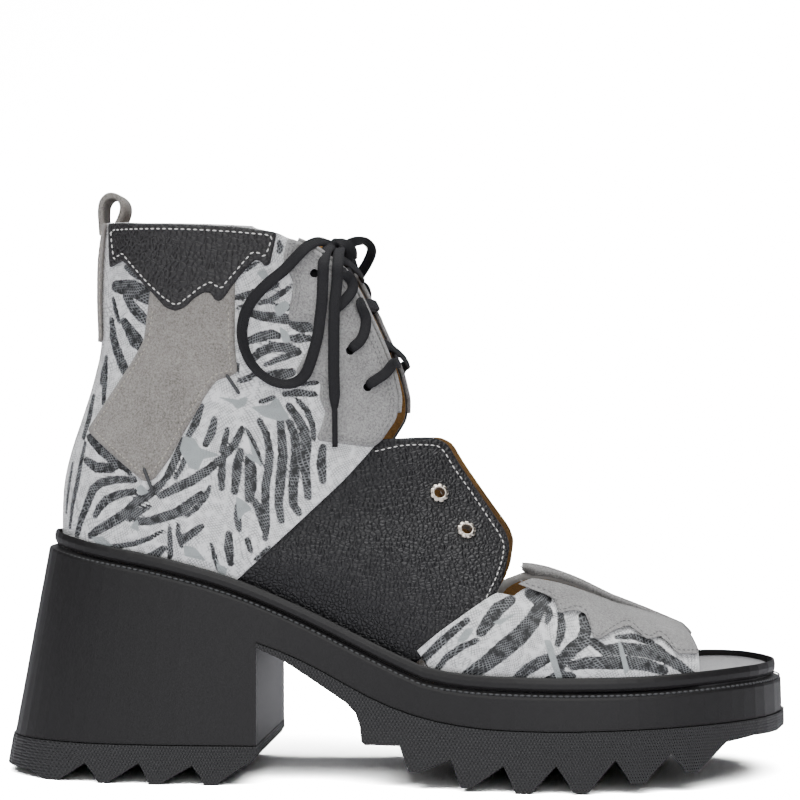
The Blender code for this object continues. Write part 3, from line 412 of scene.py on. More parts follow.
def suede(name, dark, light, scale=1500.0, height=0.0004):
    made, tree, shader = new_material(name, 0.95, Specular_IOR_Level=0.15, Sheen_Weight=0.25,
                                      Sheen_Roughness=0.6)
    look = use_group(tree, nap, Scale=scale)
    colour = mix_colour(tree, look.outputs["Shade"], (*dark, 1), (*light, 1))
    tree.links.new(colour, shader.inputs["Base Color"])
    bump(tree, shader, look.outputs["Height"], height)
    return made


def grain_leather(name, colour, roughness, scale, height):
    made, tree, shader = new_material(name, roughness, Base_Color=(*colour, 1), Specular_IOR_Level=0.5)
    bump(tree, shader, use_group(tree, grain, Scale=scale).outputs["Height"], height)
    return made


warm_suede = suede("warm_grey_suede", (0.12, 0.11, 0.1), (0.43, 0.405, 0.375))
cool_suede = suede("cool_grey_suede", (0.145, 0.142, 0.14), (0.48, 0.475, 0.47))
# Grey suede darkened with painted shade, for the inside of the toe vamp.
shade_painted_suede = suede("shaded_grey_suede", (0.07, 0.073, 0.075), (0.17, 0.175, 0.18))
tan_suede = suede("tan_lining", (0.22, 0.105, 0.022), (0.46, 0.24, 0.065), 1500.0)
black_grain = grain_leather("black_pebbled_leather", (0.015, 0.014, 0.015), 0.42, 560.0, 0.0004)
band_grain = grain_leather("black_band_leather", (0.007, 0.007, 0.0085), 0.45, 700.0, 0.0004)
raw_edge, tree, shader = new_material("raw_leather_edge", 0.8, Base_Color=(0.36, 0.35, 0.34, 1))
black_edge, tree, shader = new_material("black_leather_edge", 0.7, Base_Color=(0.02, 0.02, 0.022, 1))

# Zebra print on silver foil: black stripes and pale patches read from the mesh, under a fine woven crackle.
zebra, tree, shader = new_material("zebra_foil_leather", 0.4, Specular_IOR_Level=0.5)
where = add(tree, "ShaderNodeTexCoord").outputs["Object"]
ragged = add(tree, "ShaderNodeTexNoise", Vector=where, Scale=1100.0, Detail=3.0)
edge = math_node(tree, "MULTIPLY_ADD", math_node(tree, "SUBTRACT", ragged.outputs["Fac"], 0.5), 0.9,
                 add(tree, "ShaderNodeAttribute", attribute_name="stripe").outputs["Fac"])
black = math_node(tree, "MULTIPLY_ADD", edge, -3.0, 0.5, clamp=True)
sway = add(tree, "ShaderNodeTexNoise", Vector=where, Scale=28.0, Detail=2.0)
turned = add(tree, "ShaderNodeVectorMath", operation="MULTIPLY_ADD", i0=sway.outputs["Color"],
             i1=(0.022,) * 3, i2=where)
axes = add(tree, "ShaderNodeSeparateXYZ", i0=turned.outputs[0])
threads = []
for across, along, spacing in ((0.92, 0.4, 1150.0), (-0.4, 0.92, 1250.0)):
    place = math_node(tree, "MULTIPLY", axes.outputs["Z"], along)
    place = math_node(tree, "MULTIPLY_ADD", axes.outputs["X"], across, place)
    wave = math_node(tree, "PINGPONG", math_node(tree, "MULTIPLY", place, spacing), 0.5)
    threads.append(math_node(tree, "MULTIPLY_ADD", wave, -7.0, 1.6, clamp=True))
thread = math_node(tree, "MAXIMUM", *threads)
gaps = add(tree, "ShaderNodeTexNoise", Vector=where, Scale=420.0, Detail=2.0)
shown = math_node(tree, "MULTIPLY_ADD", gaps.outputs["Fac"], 5.0, -1.8, clamp=True)
thread = math_node(tree, "MULTIPLY", thread, shown)
mottle = add(tree, "ShaderNodeTexNoise", Vector=where, Scale=1900.0, Detail=4.0, Roughness=0.7)
foil = mix_colour(tree, math_node(tree, "MULTIPLY_ADD", mottle.outputs["Fac"], 3.0, -1.0, clamp=True),
                  (0.86, 0.87, 0.88, 1), (0.99, 0.99, 0.99, 1))
foil = mix_colour(tree, math_node(tree, "MULTIPLY", thread, 0.55), foil, (0.16, 0.165, 0.17, 1))
ink = mix_colour(tree, math_node(tree, "MULTIPLY", thread, 0.42), (0.008, 0.009, 0.01, 1),
                 (0.5, 0.52, 0.54, 1))
colour = mix_colour(tree, black, foil, ink)
pale = add(tree, "ShaderNodeAttribute", attribute_name="pale").outputs["Fac"]
pale = math_node(tree, "MULTIPLY_ADD", pale, -4.0, 0.5, clamp=True)
colour = mix_colour(tree, pale, colour, (0.4, 0.435, 0.44, 1))
tree.links.new(colour, shader.inputs["Base Color"])
bump(tree, shader, math_node(tree, "MULTIPLY_ADD", thread, -0.6, mottle.outputs["Fac"]), 0.00025)

# The zebra's stripes along the quarter and the toe, and the pale patches over them.
STRIPES = (
    # half-width, then x and height of each point
    (1.5, -98.5, 154, -96, 148, -92.5, 142),
    (2.1, -91, 154.5, -88.5, 151.5, -86, 149),
    (1, -101, 146, -101, 139, -101, 130),
    (1, -106, 132.5, -107, 125.5, -109, 118),
    (1.7, -106, 118, -101, 114, -96, 110.5, -90, 107),
    (1.5, -107, 110, -102.5, 107.5, -97, 107.5, -94, 108.5),
    (1.3, -88, 103.5, -94.5, 103.5, -100.5, 102.5, -104, 100, -106.5, 94.5, -109, 89.5, -111, 84),
    (1.3, -88, 99.5, -93.5, 98.5, -98.5, 96.5, -101.5, 93.5, -103, 91),
    (1.5, -78, 102.5, -82, 99, -87, 96, -91, 92, -97, 88.5, -102, 86, -105, 84),
    (0.8, -108, 116, -109.5, 109, -111, 101.5, -113, 94.5, -114.5, 86.5),
    (0.6, -113.5, 109, -115, 100.5, -116.5, 91.5),
    (1.4, -58, 110.5, -62.5, 106.5, -68, 103, -73.5, 100.5, -78.5, 98),
    (1.4, -64.5, 98.5, -68.5, 95.5, -72.5, 92.5, -76.5, 91, -82, 89.5, -87, 89),
    (1.2, -64.5, 87.5, -66.5, 86, -69.5, 84, -71.5, 82),
    (0.8, -78, 86, -82.5, 83.5, -88.5, 81.5, -94.5, 80.5, -98.5, 80.5),
    (1.3, -78, 80, -80.5, 78, -84.5, 76.5),
    (0.8, -75.5, 87.5, -75.5, 83.5, -75.5, 78, -76.5, 75),
    (0.8, -72.5, 88.5, -72.5, 84.5, -71.5, 80.5),
    (1.4, -55, 85, -55, 80, -54.5, 75),
    (0.8, -61, 81.5, -60, 77, -59, 72.5),
    (1.1, -50.5, 121, -51.5, 118.5, -53, 115.5, -55.5, 112.5, -57, 111),
    (0.7, -49, 120.5, -47, 117, -45, 112.5, -44, 108.5),
    (1.4, -51, 113, -52, 109, -52.5, 104, -53, 99.5),
    (1.8, -48, 110.5, -47.5, 106.5, -47.5, 101, -48, 97),
    (1.2, -44.5, 123.5, -42, 118.5, -41, 112.5, -41.5, 106.5, -42.5, 101, -42.5, 94, -42, 88, -42.5, 83.5),
    (1.4, -37.5, 123.5, -37, 118.5, -36.5, 112.5, -37, 106.5, -37.5, 101, -38, 95, -37, 89.5),
    (1.4, -34.5, 123, -32.5, 118.5, -32, 112.5, -32.5, 106.5, -33, 101, -33, 95, -31, 92),
    (1.4, -34.5, 128.5, -32, 125, -29.5, 120.5, -28.5, 115.5, -29, 109, -28.5, 103, -28, 97.5),
    (0.9, -31.5, 130.5, -28.5, 127, -26.5, 122, -26, 117),
    (1.4, -23, 114.5, -23.5, 109, -23, 103),
    (1.2, -57, 110, -57.5, 105.5, -57.5, 100.5),
    (1.2, -64.5, 128.5, -66.5, 123, -69, 118.5),
    (1.3, -60, 124, -61, 119.5, -63, 115.5),
    (1.2, -71, 117, -73, 111.5, -75.5, 106, -77.5, 103),
    (0.8, -67.5, 116, -69.5, 111.5, -71.5, 107.5, -73.5, 104),
    (1, -55.5, 120.5, -56.5, 116, -57.5, 113),
    (1.3, -46, 96, -44, 91.5, -43, 87),
    (1.2, -48.5, 83, -47.5, 79.5),
    (0.8, -61.5, 101, -63, 97.5, -66, 94, -69.5, 91),
    (1.1, -52, 95, -52, 90.5, -51.5, 86.5),
    (1, -30, 136, -25, 136.5),
    (1.1, -36, 132.5, -31.5, 133, -25.5, 132.5),
    (1, -51.5, 137, -48.5, 138, -46, 139.5),
    (1, -44, 130, -39.5, 131.5),
    (0.9, -52, 143, -52, 140),
    (0.9, -82.5, 94.5, -86, 92.5, -90, 89.5),
    (0.8, -41, 80.5, -43.5, 78, -46, 76),
    (1.5, -47, 160, -43, 159, -37.5, 158.5, -31.5, 157.5, -27, 156.5),
    (1.4, -49, 150.5, -44.5, 152, -40.5, 153, -38, 152.5),
    (1.3, -34, 151.5, -31, 151.5, -27.5, 151.5),
    (1.4, -47, 144.5, -44, 147, -40, 148.5, -35, 148.5, -31, 147),
    (0.9, -42.5, 142.5, -39, 144, -34.5, 145.5, -31, 146.5),
    (1.7, -42.5, 138.5, -38, 139, -33.5, 140),
    (1.2, -52, 165.5, -47.5, 166.5, -43, 168, -38.5, 170),
    (0.9, -44.5, 163.5, -40.5, 164.5, -36.5, 167, -33.5, 169.5),
    (1, -38.5, 162.5, -35.5, 162, -32, 162.5),
    (1.4, -33, 156, -30, 155, -27, 155),
    (0.7, -52, 162, -49, 162.5, -46, 163.5),
    (0.9, -37.5, 184.5, -37, 182.5, -37.5, 181),
    (0.7, -49.5, 174, -47, 176, -44.5, 177.5),
    (1.9, 41, 63, 36.5, 60, 33.5, 56, 31, 52.5),
    (1.9, 47, 65, 50, 63.5, 53, 63),
    (2.4, 50.5, 60.5, 48, 56, 44, 51.5, 38.5, 47, 32.5, 42, 26.5, 38),
    (1, 30, 50, 24.5, 47.5, 19.5, 44, 15.5, 39),
    (1.2, 26.5, 56.5, 21.5, 52.5, 17, 48.5, 12, 43.5, 9.5, 40),
    (1.2, 57.5, 58.5, 58, 54.5, 57.5, 51.5, 56.5, 49),
    (1.8, 65, 57.5, 66, 54, 65, 50, 61.5, 47.5, 58.5, 44.5, 57.5, 41.5),
    (1.6, 54.5, 45, 50.5, 43, 46.5, 40.5, 42.5, 37),
    (1.6, 68.5, 49.5, 72, 47, 78, 47.5, 85, 46.5, 91.5, 44.5, 96.5, 41.5, 101, 38),
    (1.8, 61.5, 42, 66, 43, 73, 43, 79.5, 43, 86, 42, 91.5, 40),
    (0.8, 76, 51, 81.5, 51, 87, 49, 91.5, 46.5),
    (1.3, 53, 37, 57, 39, 61.5, 38.5),
    (1.2, 95.5, 37.5, 101, 36.5),
    (1, 53, 61, 54, 58.5, 53, 56),
    (2.5, -96, 170.5, -89.5, 169.5, -84.5, 167, -81.5, 165),
    (1.6, -92, 166.5, -89, 162.5, -86, 159.5, -83.5, 157.5),
    (1.7, -93, 158, -90.5, 154.5, -88, 152, -85.5, 149.5),
    (0.8, -97.5, 166.5, -96.5, 162, -95, 158),
    (1.3, -98.5, 159, -97.5, 152.5, -95.5, 146.5, -93.5, 142, -92, 139.5),
    (1, -101, 144.5, -102, 141, -102.5, 137),
    (0.9, -92, 177, -89, 174.5, -87, 173),
)
PALE = (
    # corners, x and height
    (-59.2, 131.8, -51.6, 130.7, -48.1, 132.4, -49.3, 128.9, -52.2, 127.4, -54, 129.5),
    (-47.6, 128.3, -41.1, 128.9, -38.6, 131.8, -36, 127.2, -34.2, 124.2, -37.7, 123.3, -42.9, 124.8),
    (-70.8, 118.4, -66.8, 117.5, -65, 114.3, -57.6, 111.8, -63.8, 110.5, -65.5, 106.7, -68.4, 107.3,
     -72, 113.7),
    (-49.8, 112.5, -46.9, 111.9, -48.7, 119, -43.4, 107.8, -47.5, 110.2),
    (-52.7, 97.9, -49.7, 96.2, -46.8, 93.2, -49.7, 92.1, -51.8, 88.6),
    (-70.8, 81, -66.8, 80.4, -63.9, 76.8, -63.3, 75.7, -70.7, 77.4),
    (-60.2, 78.6, -58.6, 74.5, -55.4, 73.3, -57.1, 69.7, -58.9, 70.3),
    (-104.9, 83.5, -100.1, 83.9, -96.4, 80.7, -99, 80.1, -102.9, 81.2),
    (-89.9, 87.3, -86.8, 90.3, -86.5, 85.6),
    (-87.5, 100.8, -85.6, 102, -82.6, 99.1, -86.2, 97.9),
    (-45.2, 174, -42.1, 175.2, -41, 172.8, -42.8, 171.3),
    (-39.3, 162, -35.1, 165, -33.9, 162, -38.1, 158.3),
    (-37.8, 155.9, -34.5, 153.5, -33.9, 150.5, -36.4, 149.9),
    (23.2, 50.1, 25.9, 53.6, 29.3, 54.2, 26.6, 50.2, 23.5, 48.1),
    (52, 50.4, 54.4, 50.4, 58.2, 37.5, 56.1, 37.5),
    (76, 51.3, 78, 48.2, 80.1, 40.8, 78.7, 38.8),
    (34.8, 55.7, 37.6, 57, 44.4, 59.6, 37.6, 55),
)


def oval(wide, high, count, place=(0.0, 0.0)):
    """Points round an oval of two radii."""
    return [(place[0] + wide * math.cos(a), place[1] + high * math.sin(a))
            for a in np.arange(count) * math.tau / count]


def nearest(points, ring):
    """Distance from points to a closed outline, and whether they lie inside it."""
    gap = np.full(len(points), 1e9)
    inside = np.zeros(len(points), bool)
    for a, b in zip(ring, np.roll(ring, -1, 0)):
        u = np.clip(((points - a) @ (b - a)) / max((b - a) @ (b - a), 1e-12), 0, 1)
        gap = np.minimum(gap, np.linalg.norm(points - a - u[:, None] * (b - a), axis=1))
        rise = b[1] - a[1] if b[1] != a[1] else 1e-9
        inside ^= ((a[1] > points[:, 1]) != (b[1] > points[:, 1])) & (
            points[:, 0] < a[0] + (b[0] - a[0]) * (points[:, 1] - a[1]) / rise)
    return gap, inside


NET = (0.0018, 0.0012)      # longest edge left by each pass over the printed face, in metres


def mark_print(target):
    """Finer net, with signed distances from its points to the nearest stripe and pale patch."""
    work = bmesh.new()
    work.from_mesh(target.data)
    for longest in NET:
        edges = {edge for face in work.faces if face.material_index == 0 for edge in face.edges}
        long_edges = [edge for edge in edges if edge.calc_length() > longest]
        bmesh.ops.subdivide_edges(work, edges=long_edges, cuts=1, use_grid_fill=True)
    work.to_mesh(target.data)
    work.free()
    points = np.array([v.co for v in target.data.vertices]) * 1000 + CENTRE
    p = points[:, [0, 2]]
    stripe = np.full(len(p), 9.0)
    for half, *line in STRIPES:
        line = np.array(line).reshape(-1, 2)
        reach = np.linspace(0.0, 1.0, len(line))
        thick = half * (0.6 + 0.66 * np.sin(np.pi * np.clip(reach, 0.06, 0.94))**0.5)
        for a, b, start, end in zip(line, line[1:], thick, thick[1:]):
            u = np.clip(((p - a) @ (b - a)) / ((b - a) @ (b - a)), 0, 1)
            gap = np.linalg.norm(p - a - u[:, None] * (b - a), axis=1) - (start + (end - start) * u)
            stripe = np.minimum(stripe, gap)
    pale = np.full(len(p), 9.0)
    for corners in PALE:
        gap, inside = nearest(p, np.array(corners).reshape(-1, 2))
        pale = np.minimum(pale, np.where(inside, -gap, gap))
    for name, values in (("stripe", stripe), ("pale", pale)):
        layer = target.data.attributes.new(name, "FLOAT", "POINT")
        layer.data.foreach_set("value", values.astype(np.float32))


def eased(points, bend=4.0, step=1.6):
    """Closed outline with its corners rounded over bend millimetres and its sides cut into short steps."""
    ring, points = [], [np.array(p, float) for p in points]
    for k, corner in enumerate(points):
        before, after = points[k - 1] - corner, points[(k + 1) % len(points)] - corner
        near = min(bend, 0.42 * np.linalg.norm(before), 0.42 * np.linalg.norm(after))
        start = corner + before / np.linalg.norm(before) * near
        end = corner + after / np.linalg.norm(after) * near
        if ring:
            gap = start - ring[-1]
            count = max(int(np.linalg.norm(gap) / step), 1)
            ring += [ring[-1] + gap * n / count for n in range(1, count)]
        for u in (0.0, 0.25, 0.5, 0.75, 1.0):
            ring.append((1 - u)**2 * start + 2 * u * (1 - u) * corner + u**2 * end)
    gap = ring[0] - ring[-1]
    count = max(int(np.linalg.norm(gap) / step), 1)
    ring += [ring[-1] + gap * n / count for n in range(1, count)]
    return np.array(ring)


# The boot's outline in the side view: collar, throat, and the open instep down to the toe vamp.
COLLAR = (
    (-140.0, 193.9), (-104.0, 193.6), (-84.0, 191.6), (-60.0, 190.6), (-38.0, 189.4), (-32.0, 188.8),
    (-27.4, 187.1), (-22.0, 182.4), (-16.6, 174.4), (-11.4, 164.6), (-5.0, 150.6), (-0.6, 139.6),
    (1.4, 131.0), (1.0, 124.0), (-4.2, 116.6),
)
OUTER_DIP = (
    (-60.0, 210.0), (-46.0, 189.2), (-38.0, 187.6), (-34.5, 185.9), (-29.9, 184.0), (-25.4, 181.8),
    (-20.6, 178.0), (-16.6, 173.8), (-13.4, 168.4), (0.0, 168.4), (0.0, 210.0),
)
QUARTER = (
    *COLLAR, (-8.2, 111.6), (-16.5, 102.5), (-31.4, 88.6), (-44.1, 76.8), (-54.6, 67.4), (-58.0, 62.0),
    (-140.0, 62.0),
)
BAND = (
    (-7.0, 113.6), (-4.2, 116.9), (1.6, 117.3), (8.5, 117.5), (14.4, 117.4), (18.6, 115.2), (22.4, 108.6),
    (31.4, 95.4), (38.6, 85.2), (40.2, 80.6), (38.8, 71.6), (36.6, 66.0), (34.4, 62.6), (24.6, 54.4),
    (14.5, 46.6), (2.3, 36.0), (-62.0, 40.0), (-58.0, 66.0), (-47.0, 79.0), (-34.0, 91.0), (-19.0, 105.0),
)
VAMP = (
    (0.0, 34.0), (4.3, 41.6), (16.5, 52.1), (26.6, 59.3), (34.4, 64.6), (43.4, 68.2), (49.4, 69.6),
    (60.0, 110.0), (150.0, 110.0), (150.0, 20.0), (0.0, 20.0),
)
TOE_SLIT = (
    (42.0, -34.5), (48.0, -30.4), (54.5, -27.8), (65.0, -23.4), (75.6, -18.4), (86.0, -10.0), (95.0, 1.0),
    (95.0, 4.0), (86.0, 11.5), (75.0, 17.0), (64.4, 19.2), (49.2, 24.7), (43.4, 26.8), (37.0, 29.3),
    (30.0, 33.0), (-20.0, 36.0), (-20.0, -36.0),
)
PEEP = (
    (106.6, 60.0), (106.0, 34.0), (101.4, 20.0), (98.6, 5.0), (100.4, -12.0), (103.6, -26.0),
    (104.4, -60.0), (160.0, -60.0), (160.0, 60.0),
)
HOLES = ((-25.8, 173.8), (-18.6, 161.3), (-13.8, 147.4), (-8.1, 134.9))
tall, wide = 100, 90
BAND_STITCH = (
    (-4.9, 113.0), (4.0, 114.8), (13.4, 114.8), (17.2, 113.0), (21.1, 106.7), (26.1, 99.7), (32.6, 90.2),
    (37.6, 82.6), (38.0, 77.4), (36.0, 70.6), (33.0, 64.4),
)
under = [(x, footbed(x) + 0.6) for x in np.linspace(-124.0, 122.0, 60)]
UNDER = [(-124.0, 0.0), *under, (122.0, 0.0)]

# QUARTERS
# Zebra foil leather with a tan suede lining, one wall round the heel from throat to throat.
# Built as a closed wall between two offsets of the form and cut to the collar, throat and seam lines.
quarters = wall("quarters", 0.0, 15.0, tall, wide, -WALL, 0.0, [zebra, tan_suede, raw_edge])
cut(quarters, cut_prism(eased(QUARTER, 3.0, 4.0), raw_edge), "INTERSECT")
cut(quarters, cut_prism(UNDER, tan_suede))
cut(quarters, cut_prism(eased(OUTER_DIP, 2.0, 4.0), raw_edge, span=(-90.0, -3.0)))
BORE = 1.5
cut(quarters, cut_prism([oval(BORE, BORE, 16, hole) for hole in HOLES], black_edge))
mark_print(quarters)

# INSTEP BAND
# Black pebbled leather that crosses under the quarters and the toe vamp on each side, lined in tan.
band = wall("instep_band", 4.0, 15.0, tall, wide, -WALL + 0.1, -0.65, [band_grain, tan_suede, black_edge])
cut(band, cut_prism(eased(BAND, 5.0, 4.0), black_edge), "INTERSECT")
cut(band, cut_prism(UNDER, tan_suede))

# TOE VAMP
# Zebra foil leather in two halves that meet at a point over the toes, open above and at the tip.
vamp = wall("toe_vamp", 7.0, 15.0, tall, wide, -WALL, 0.0, [zebra, tan_suede, raw_edge])
cut(vamp, cut_prism(eased(VAMP, 3.0, 4.0), raw_edge), "INTERSECT")
cut(vamp, cut_prism(UNDER, tan_suede))
cut(vamp, cut_prism(TOE_SLIT, raw_edge, "z"))
cut(vamp, cut_prism(PEEP, raw_edge, "z"))
mark_print(vamp)
for piece in (quarters, band, vamp):
    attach(piece, "root")
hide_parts("upper")


# OVERLAYS
# Thin leather pieces sewn over the upper, each with raised rolled edges. The same outlines serve both sides.
def inward(ring):
    """1 or -1, the sign that moves an outline into itself."""
    area = np.sum(ring[:, 0] * np.roll(ring[:, 1], -1) - ring[:, 1] * np.roll(ring[:, 0], -1))
    return 1 if area < 0 else -1


def panel(name, ring, side, low, thick, finishes, holes=(), pitch=1.3):
    """Leather piece laid on the form: an outline filled with points, lifted, and rolled over at its edge."""
    span = [np.arange(ring[:, axis].min(), ring[:, axis].max(), pitch) for axis in (0, 1)]
    lattice = np.stack(np.meshgrid(*span), 2).reshape(-1, 2)
    gap, inside = nearest(lattice, ring)
    rows = [ring, lattice[inside & (gap > 1.25)]]
    turn = inward(ring)
    for inset in (0.3, 0.8):
        line = grow(ring, inset * turn)
        gap, inside = nearest(line, ring)
        rows.append(line[inside & (gap > inset * 0.8)])
    for x, z in holes:
        rows = [rows[0], *(row[np.hypot(row[:, 0] - x, row[:, 1] - z) > 2.1] for row in rows[1:])]
        rows.append(np.array(oval(1.6, 1.6, 16, (x, z))))
    flat = [Vector(p) for p in np.concatenate(rows)]
    made = delaunay_2d_cdt(flat, [], [list(range(len(ring)))], 1, 1e-5)
    flat = np.array([tuple(v) for v in made[0]])
    tris = [tuple(t) for t in made[2] if all(math.dist(flat[list(t)].mean(0), hole) > 1.5 for hole in holes)]
    gap, _ = nearest(flat, ring)
    rolled = np.sqrt(1 - (1 - np.clip(gap / 0.9, 0, 1))**2)
    top = on_form(flat, side, low)
    top[:, 1] += side * thick * (0.35 + 0.65 * rolled)
    base = on_form(ring, side, low)
    base[:, 1] -= side * 0.35
    first, count = len(top), len(ring)
    faces = tris + [(k, (k + 1) % count, first + (k + 1) % count, first + k) for k in range(count)]
    slots = [0] * len(tris) + [1] * count
    return make_mesh(name, np.concatenate((top, base)), faces, finishes, slots, 60)


def inset_line(ring, inset, low=0.0, side=-1, part=None):
    """Line that follows an outline at a distance inside it, laid on the form."""
    turn = inward(ring)
    line = grow(ring, inset * turn)
    gap, inside = nearest(line, ring)
    line = line[inside & (gap > inset * 0.93)]
    if part is not None:
        line = line[part(line[:, 0], line[:, 1])]
    return on_form(line, side, low)


# One row of stitches: short rounded threads set along a line at a regular pitch.
stitch_row = bpy.data.node_groups.new("stitch_row", "GeometryNodeTree")
for label, kind, value in (("Line", "NodeSocketGeometry", None), ("Pitch", "NodeSocketFloat", 0.0025),
                           ("Length", "NodeSocketFloat", 0.0019), ("Thickness", "NodeSocketFloat", 0.0005),
                           ("Thread", "NodeSocketMaterial", None)):
    socket = stitch_row.interface.new_socket(label, in_out="INPUT", socket_type=kind)
    if isinstance(value, float):
        socket.default_value = value
stitch_row.interface.new_socket("Stitches", in_out="OUTPUT", socket_type="NodeSocketGeometry")
given, result = stitch_row.nodes.new("NodeGroupInput"), stitch_row.nodes.new("NodeGroupOutput")
line = add(stitch_row, "GeometryNodeMeshToCurve", Mesh=given.outputs["Line"])
line = add(stitch_row, "GeometryNodeResampleCurve", Curve=line.outputs[0], mode="LENGTH",
           Length=given.outputs["Pitch"])
thread = add(stitch_row, "GeometryNodeMeshUVSphere", Segments=8, Rings=6, Radius=0.5)
thread = add(stitch_row, "GeometryNodeSetShadeSmooth", Geometry=thread.outputs[0])
size = add(stitch_row, "ShaderNodeCombineXYZ", X=given.outputs["Length"], Y=given.outputs["Thickness"],
           Z=given.outputs["Thickness"])
thread = add(stitch_row, "GeometryNodeTransform", Geometry=thread.outputs[0], Scale=size.outputs[0])
ahead_way = add(stitch_row, "GeometryNodeInputTangent").outputs[0]
turn = add(stitch_row, "FunctionNodeAlignRotationToVector", axis="X", Vector=ahead_way)
sown = add(stitch_row, "GeometryNodeInstanceOnPoints", Points=line.outputs[0], Instance=thread.outputs[0],
           Rotation=turn.outputs[0])
real = add(stitch_row, "GeometryNodeRealizeInstances", Geometry=sown.outputs[0])
done = add(stitch_row, "GeometryNodeSetMaterial", Geometry=real.outputs[0], Material=given.outputs["Thread"])
stitch_row.links.new(done.outputs[0], result.inputs[0])


def curve_through(route, steps):
    """Points of a smooth curve through an open route."""
    p = np.array(route, float)
    p = np.vstack((2 * p[0] - p[1], p, 2 * p[-1] - p[-2]))
    u = (np.arange(steps) / steps)[:, None]
    path = [0.5 * (2 * b + (c - a) * u + (2 * a - 5 * b + 4 * c - d) * u**2 + (3 * b - a - 3 * c + d) * u**3)
            for a, b, c, d in zip(p, p[1:], p[2:], p[3:])]
    return np.vstack((*path, p[-2:-1]))


def ribbon(name, path, facing, section, finish, widths=1.0):
    """Band swept along a path; its section goes across the band, times widths, and out along facing."""
    path = np.array(path)
    along = np.gradient(path, axis=0)
    along /= np.linalg.norm(along, axis=1)[:, None]
    out = np.broadcast_to(np.array(facing, float), path.shape)
    out = out - along * np.sum(along * out, axis=1)[:, None]
    out /= np.linalg.norm(out, axis=1)[:, None]
    across = np.cross(along, out)
    section = np.array(section)
    across *= (np.ones(len(path)) * widths)[:, None]
    points = path[:, None] + across[:, None] * section[None, :, :1] + out[:, None] * section[None, :, 1:]
    points = points.reshape(-1, 3)
    n, m = len(path), len(section)
    faces = [(a * m + k, a * m + (k + 1) % m, (a + 1) * m + (k + 1) % m, (a + 1) * m + k)
             for a in range(n - 1) for k in range(m)]
    faces += [tuple(range(m)), tuple(range((n - 1) * m, n * m))]
    return make_mesh(name, points, faces, [finish], sharp=70)


def stitches(name, lines, finish, pitch=2.5, length=1.9, thickness=0.5):
    """Stitches along one or more lines of 3-D points in the tables' millimetres."""
    points, edges = [], []
    for line in lines:
        first = len(points)
        points += list(line)
        edges += [(k, k + 1) for k in range(first, len(points) - 1)
                  if np.linalg.norm(np.subtract(points[k + 1], points[k])) < 9.0]
    mesh = bpy.data.meshes.new(name)
    mesh.from_pydata(((np.array(points) - CENTRE) * MM).tolist(), edges, [])
    made = bpy.data.objects.new(name, mesh)
    bpy.context.collection.objects.link(made)
    row = made.modifiers.new("stitches", "NODES")
    row.node_group = stitch_row
    values = {"Pitch": pitch * MM, "Length": length * MM, "Thickness": thickness * MM, "Thread": finish}
    for item in stitch_row.interface.items_tree:
        if item.in_out == "INPUT" and item.name in values:
            row[item.identifier] = values[item.name]
    done = bpy.data.meshes.new_from_object(made.evaluated_get(bpy.context.evaluated_depsgraph_get()))
    made.modifiers.clear()
    made.data = done
    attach(made, "root")
    return made


white_thread, tree, shader = new_material("white_thread", 0.6, Base_Color=(0.75, 0.74, 0.72, 1))
beige_thread, tree, shader = new_material("beige_thread", 0.7, Base_Color=(0.5, 0.46, 0.4, 1))
grey_thread, tree, shader = new_material("grey_thread", 0.7, Base_Color=(0.2, 0.2, 0.2, 1))
dark_thread, tree, shader = new_material("dark_thread", 0.6, Base_Color=(0.05, 0.052, 0.055, 1))

COLLAR_PATCH = (
    (-99.6, 192.7), (-98.6, 177.0), (-95.5, 178.0), (-93.0, 179.2), (-89.3, 175.5), (-85.4, 171.2),
    (-80.4, 166.3), (-76.8, 162.3), (-73.2, 161.1), (-69.8, 162.4), (-66.5, 165.4), (-62.9, 167.4),
    (-60.7, 167.1), (-59.5, 164.8), (-57.8, 164.2), (-56.0, 165.6), (-54.1, 168.3), (-51.2, 172.1),
    (-47.7, 176.2), (-45.2, 178.3), (-43.3, 177.6), (-42.3, 175.9), (-40.4, 176.7), (-38.0, 187.6),
    (-51.0, 189.4), (-62.6, 190.2), (-84.0, 191.3),
)
COLLAR_STITCH = (
    (-97.6, 187.8), (-96.4, 179.8), (-92.9, 181.6), (-88.6, 176.8), (-82.9, 170.7), (-76.8, 165.3),
    (-72.8, 163.0), (-68.3, 166.0), (-64.1, 169.2), (-60.5, 170.8), (-57.3, 168.4), (-52.9, 173.2),
    (-48.8, 177.9), (-46.2, 180.7), (-44.2, 180.6), (-42.4, 179.2), (-40.6, 182.0), (-39.6, 186.4),
    (-45.3, 187.0), (-53.9, 187.8), (-65.6, 188.6), (-77.5, 189.2), (-88.4, 189.6), (-97.6, 189.9),
)
SIDE_PATCH = (
    (-82.4, 169.4), (-77.4, 164.6), (-73.0, 163.2), (-69.0, 164.4), (-65.6, 167.4), (-61.6, 169.4),
    (-58.2, 167.4), (-56.6, 168.0), (-52.4, 173.0), (-52.9, 150.1), (-52.0, 140.0), (-54.6, 138.6),
    (-59.2, 137.4), (-62.9, 132.4), (-70.6, 119.4), (-75.4, 110.8), (-81.0, 103.4), (-84.6, 102.8),
    (-97.1, 112.6), (-107.4, 120.6), (-90.6, 143.1), (-85.4, 151.3),
)
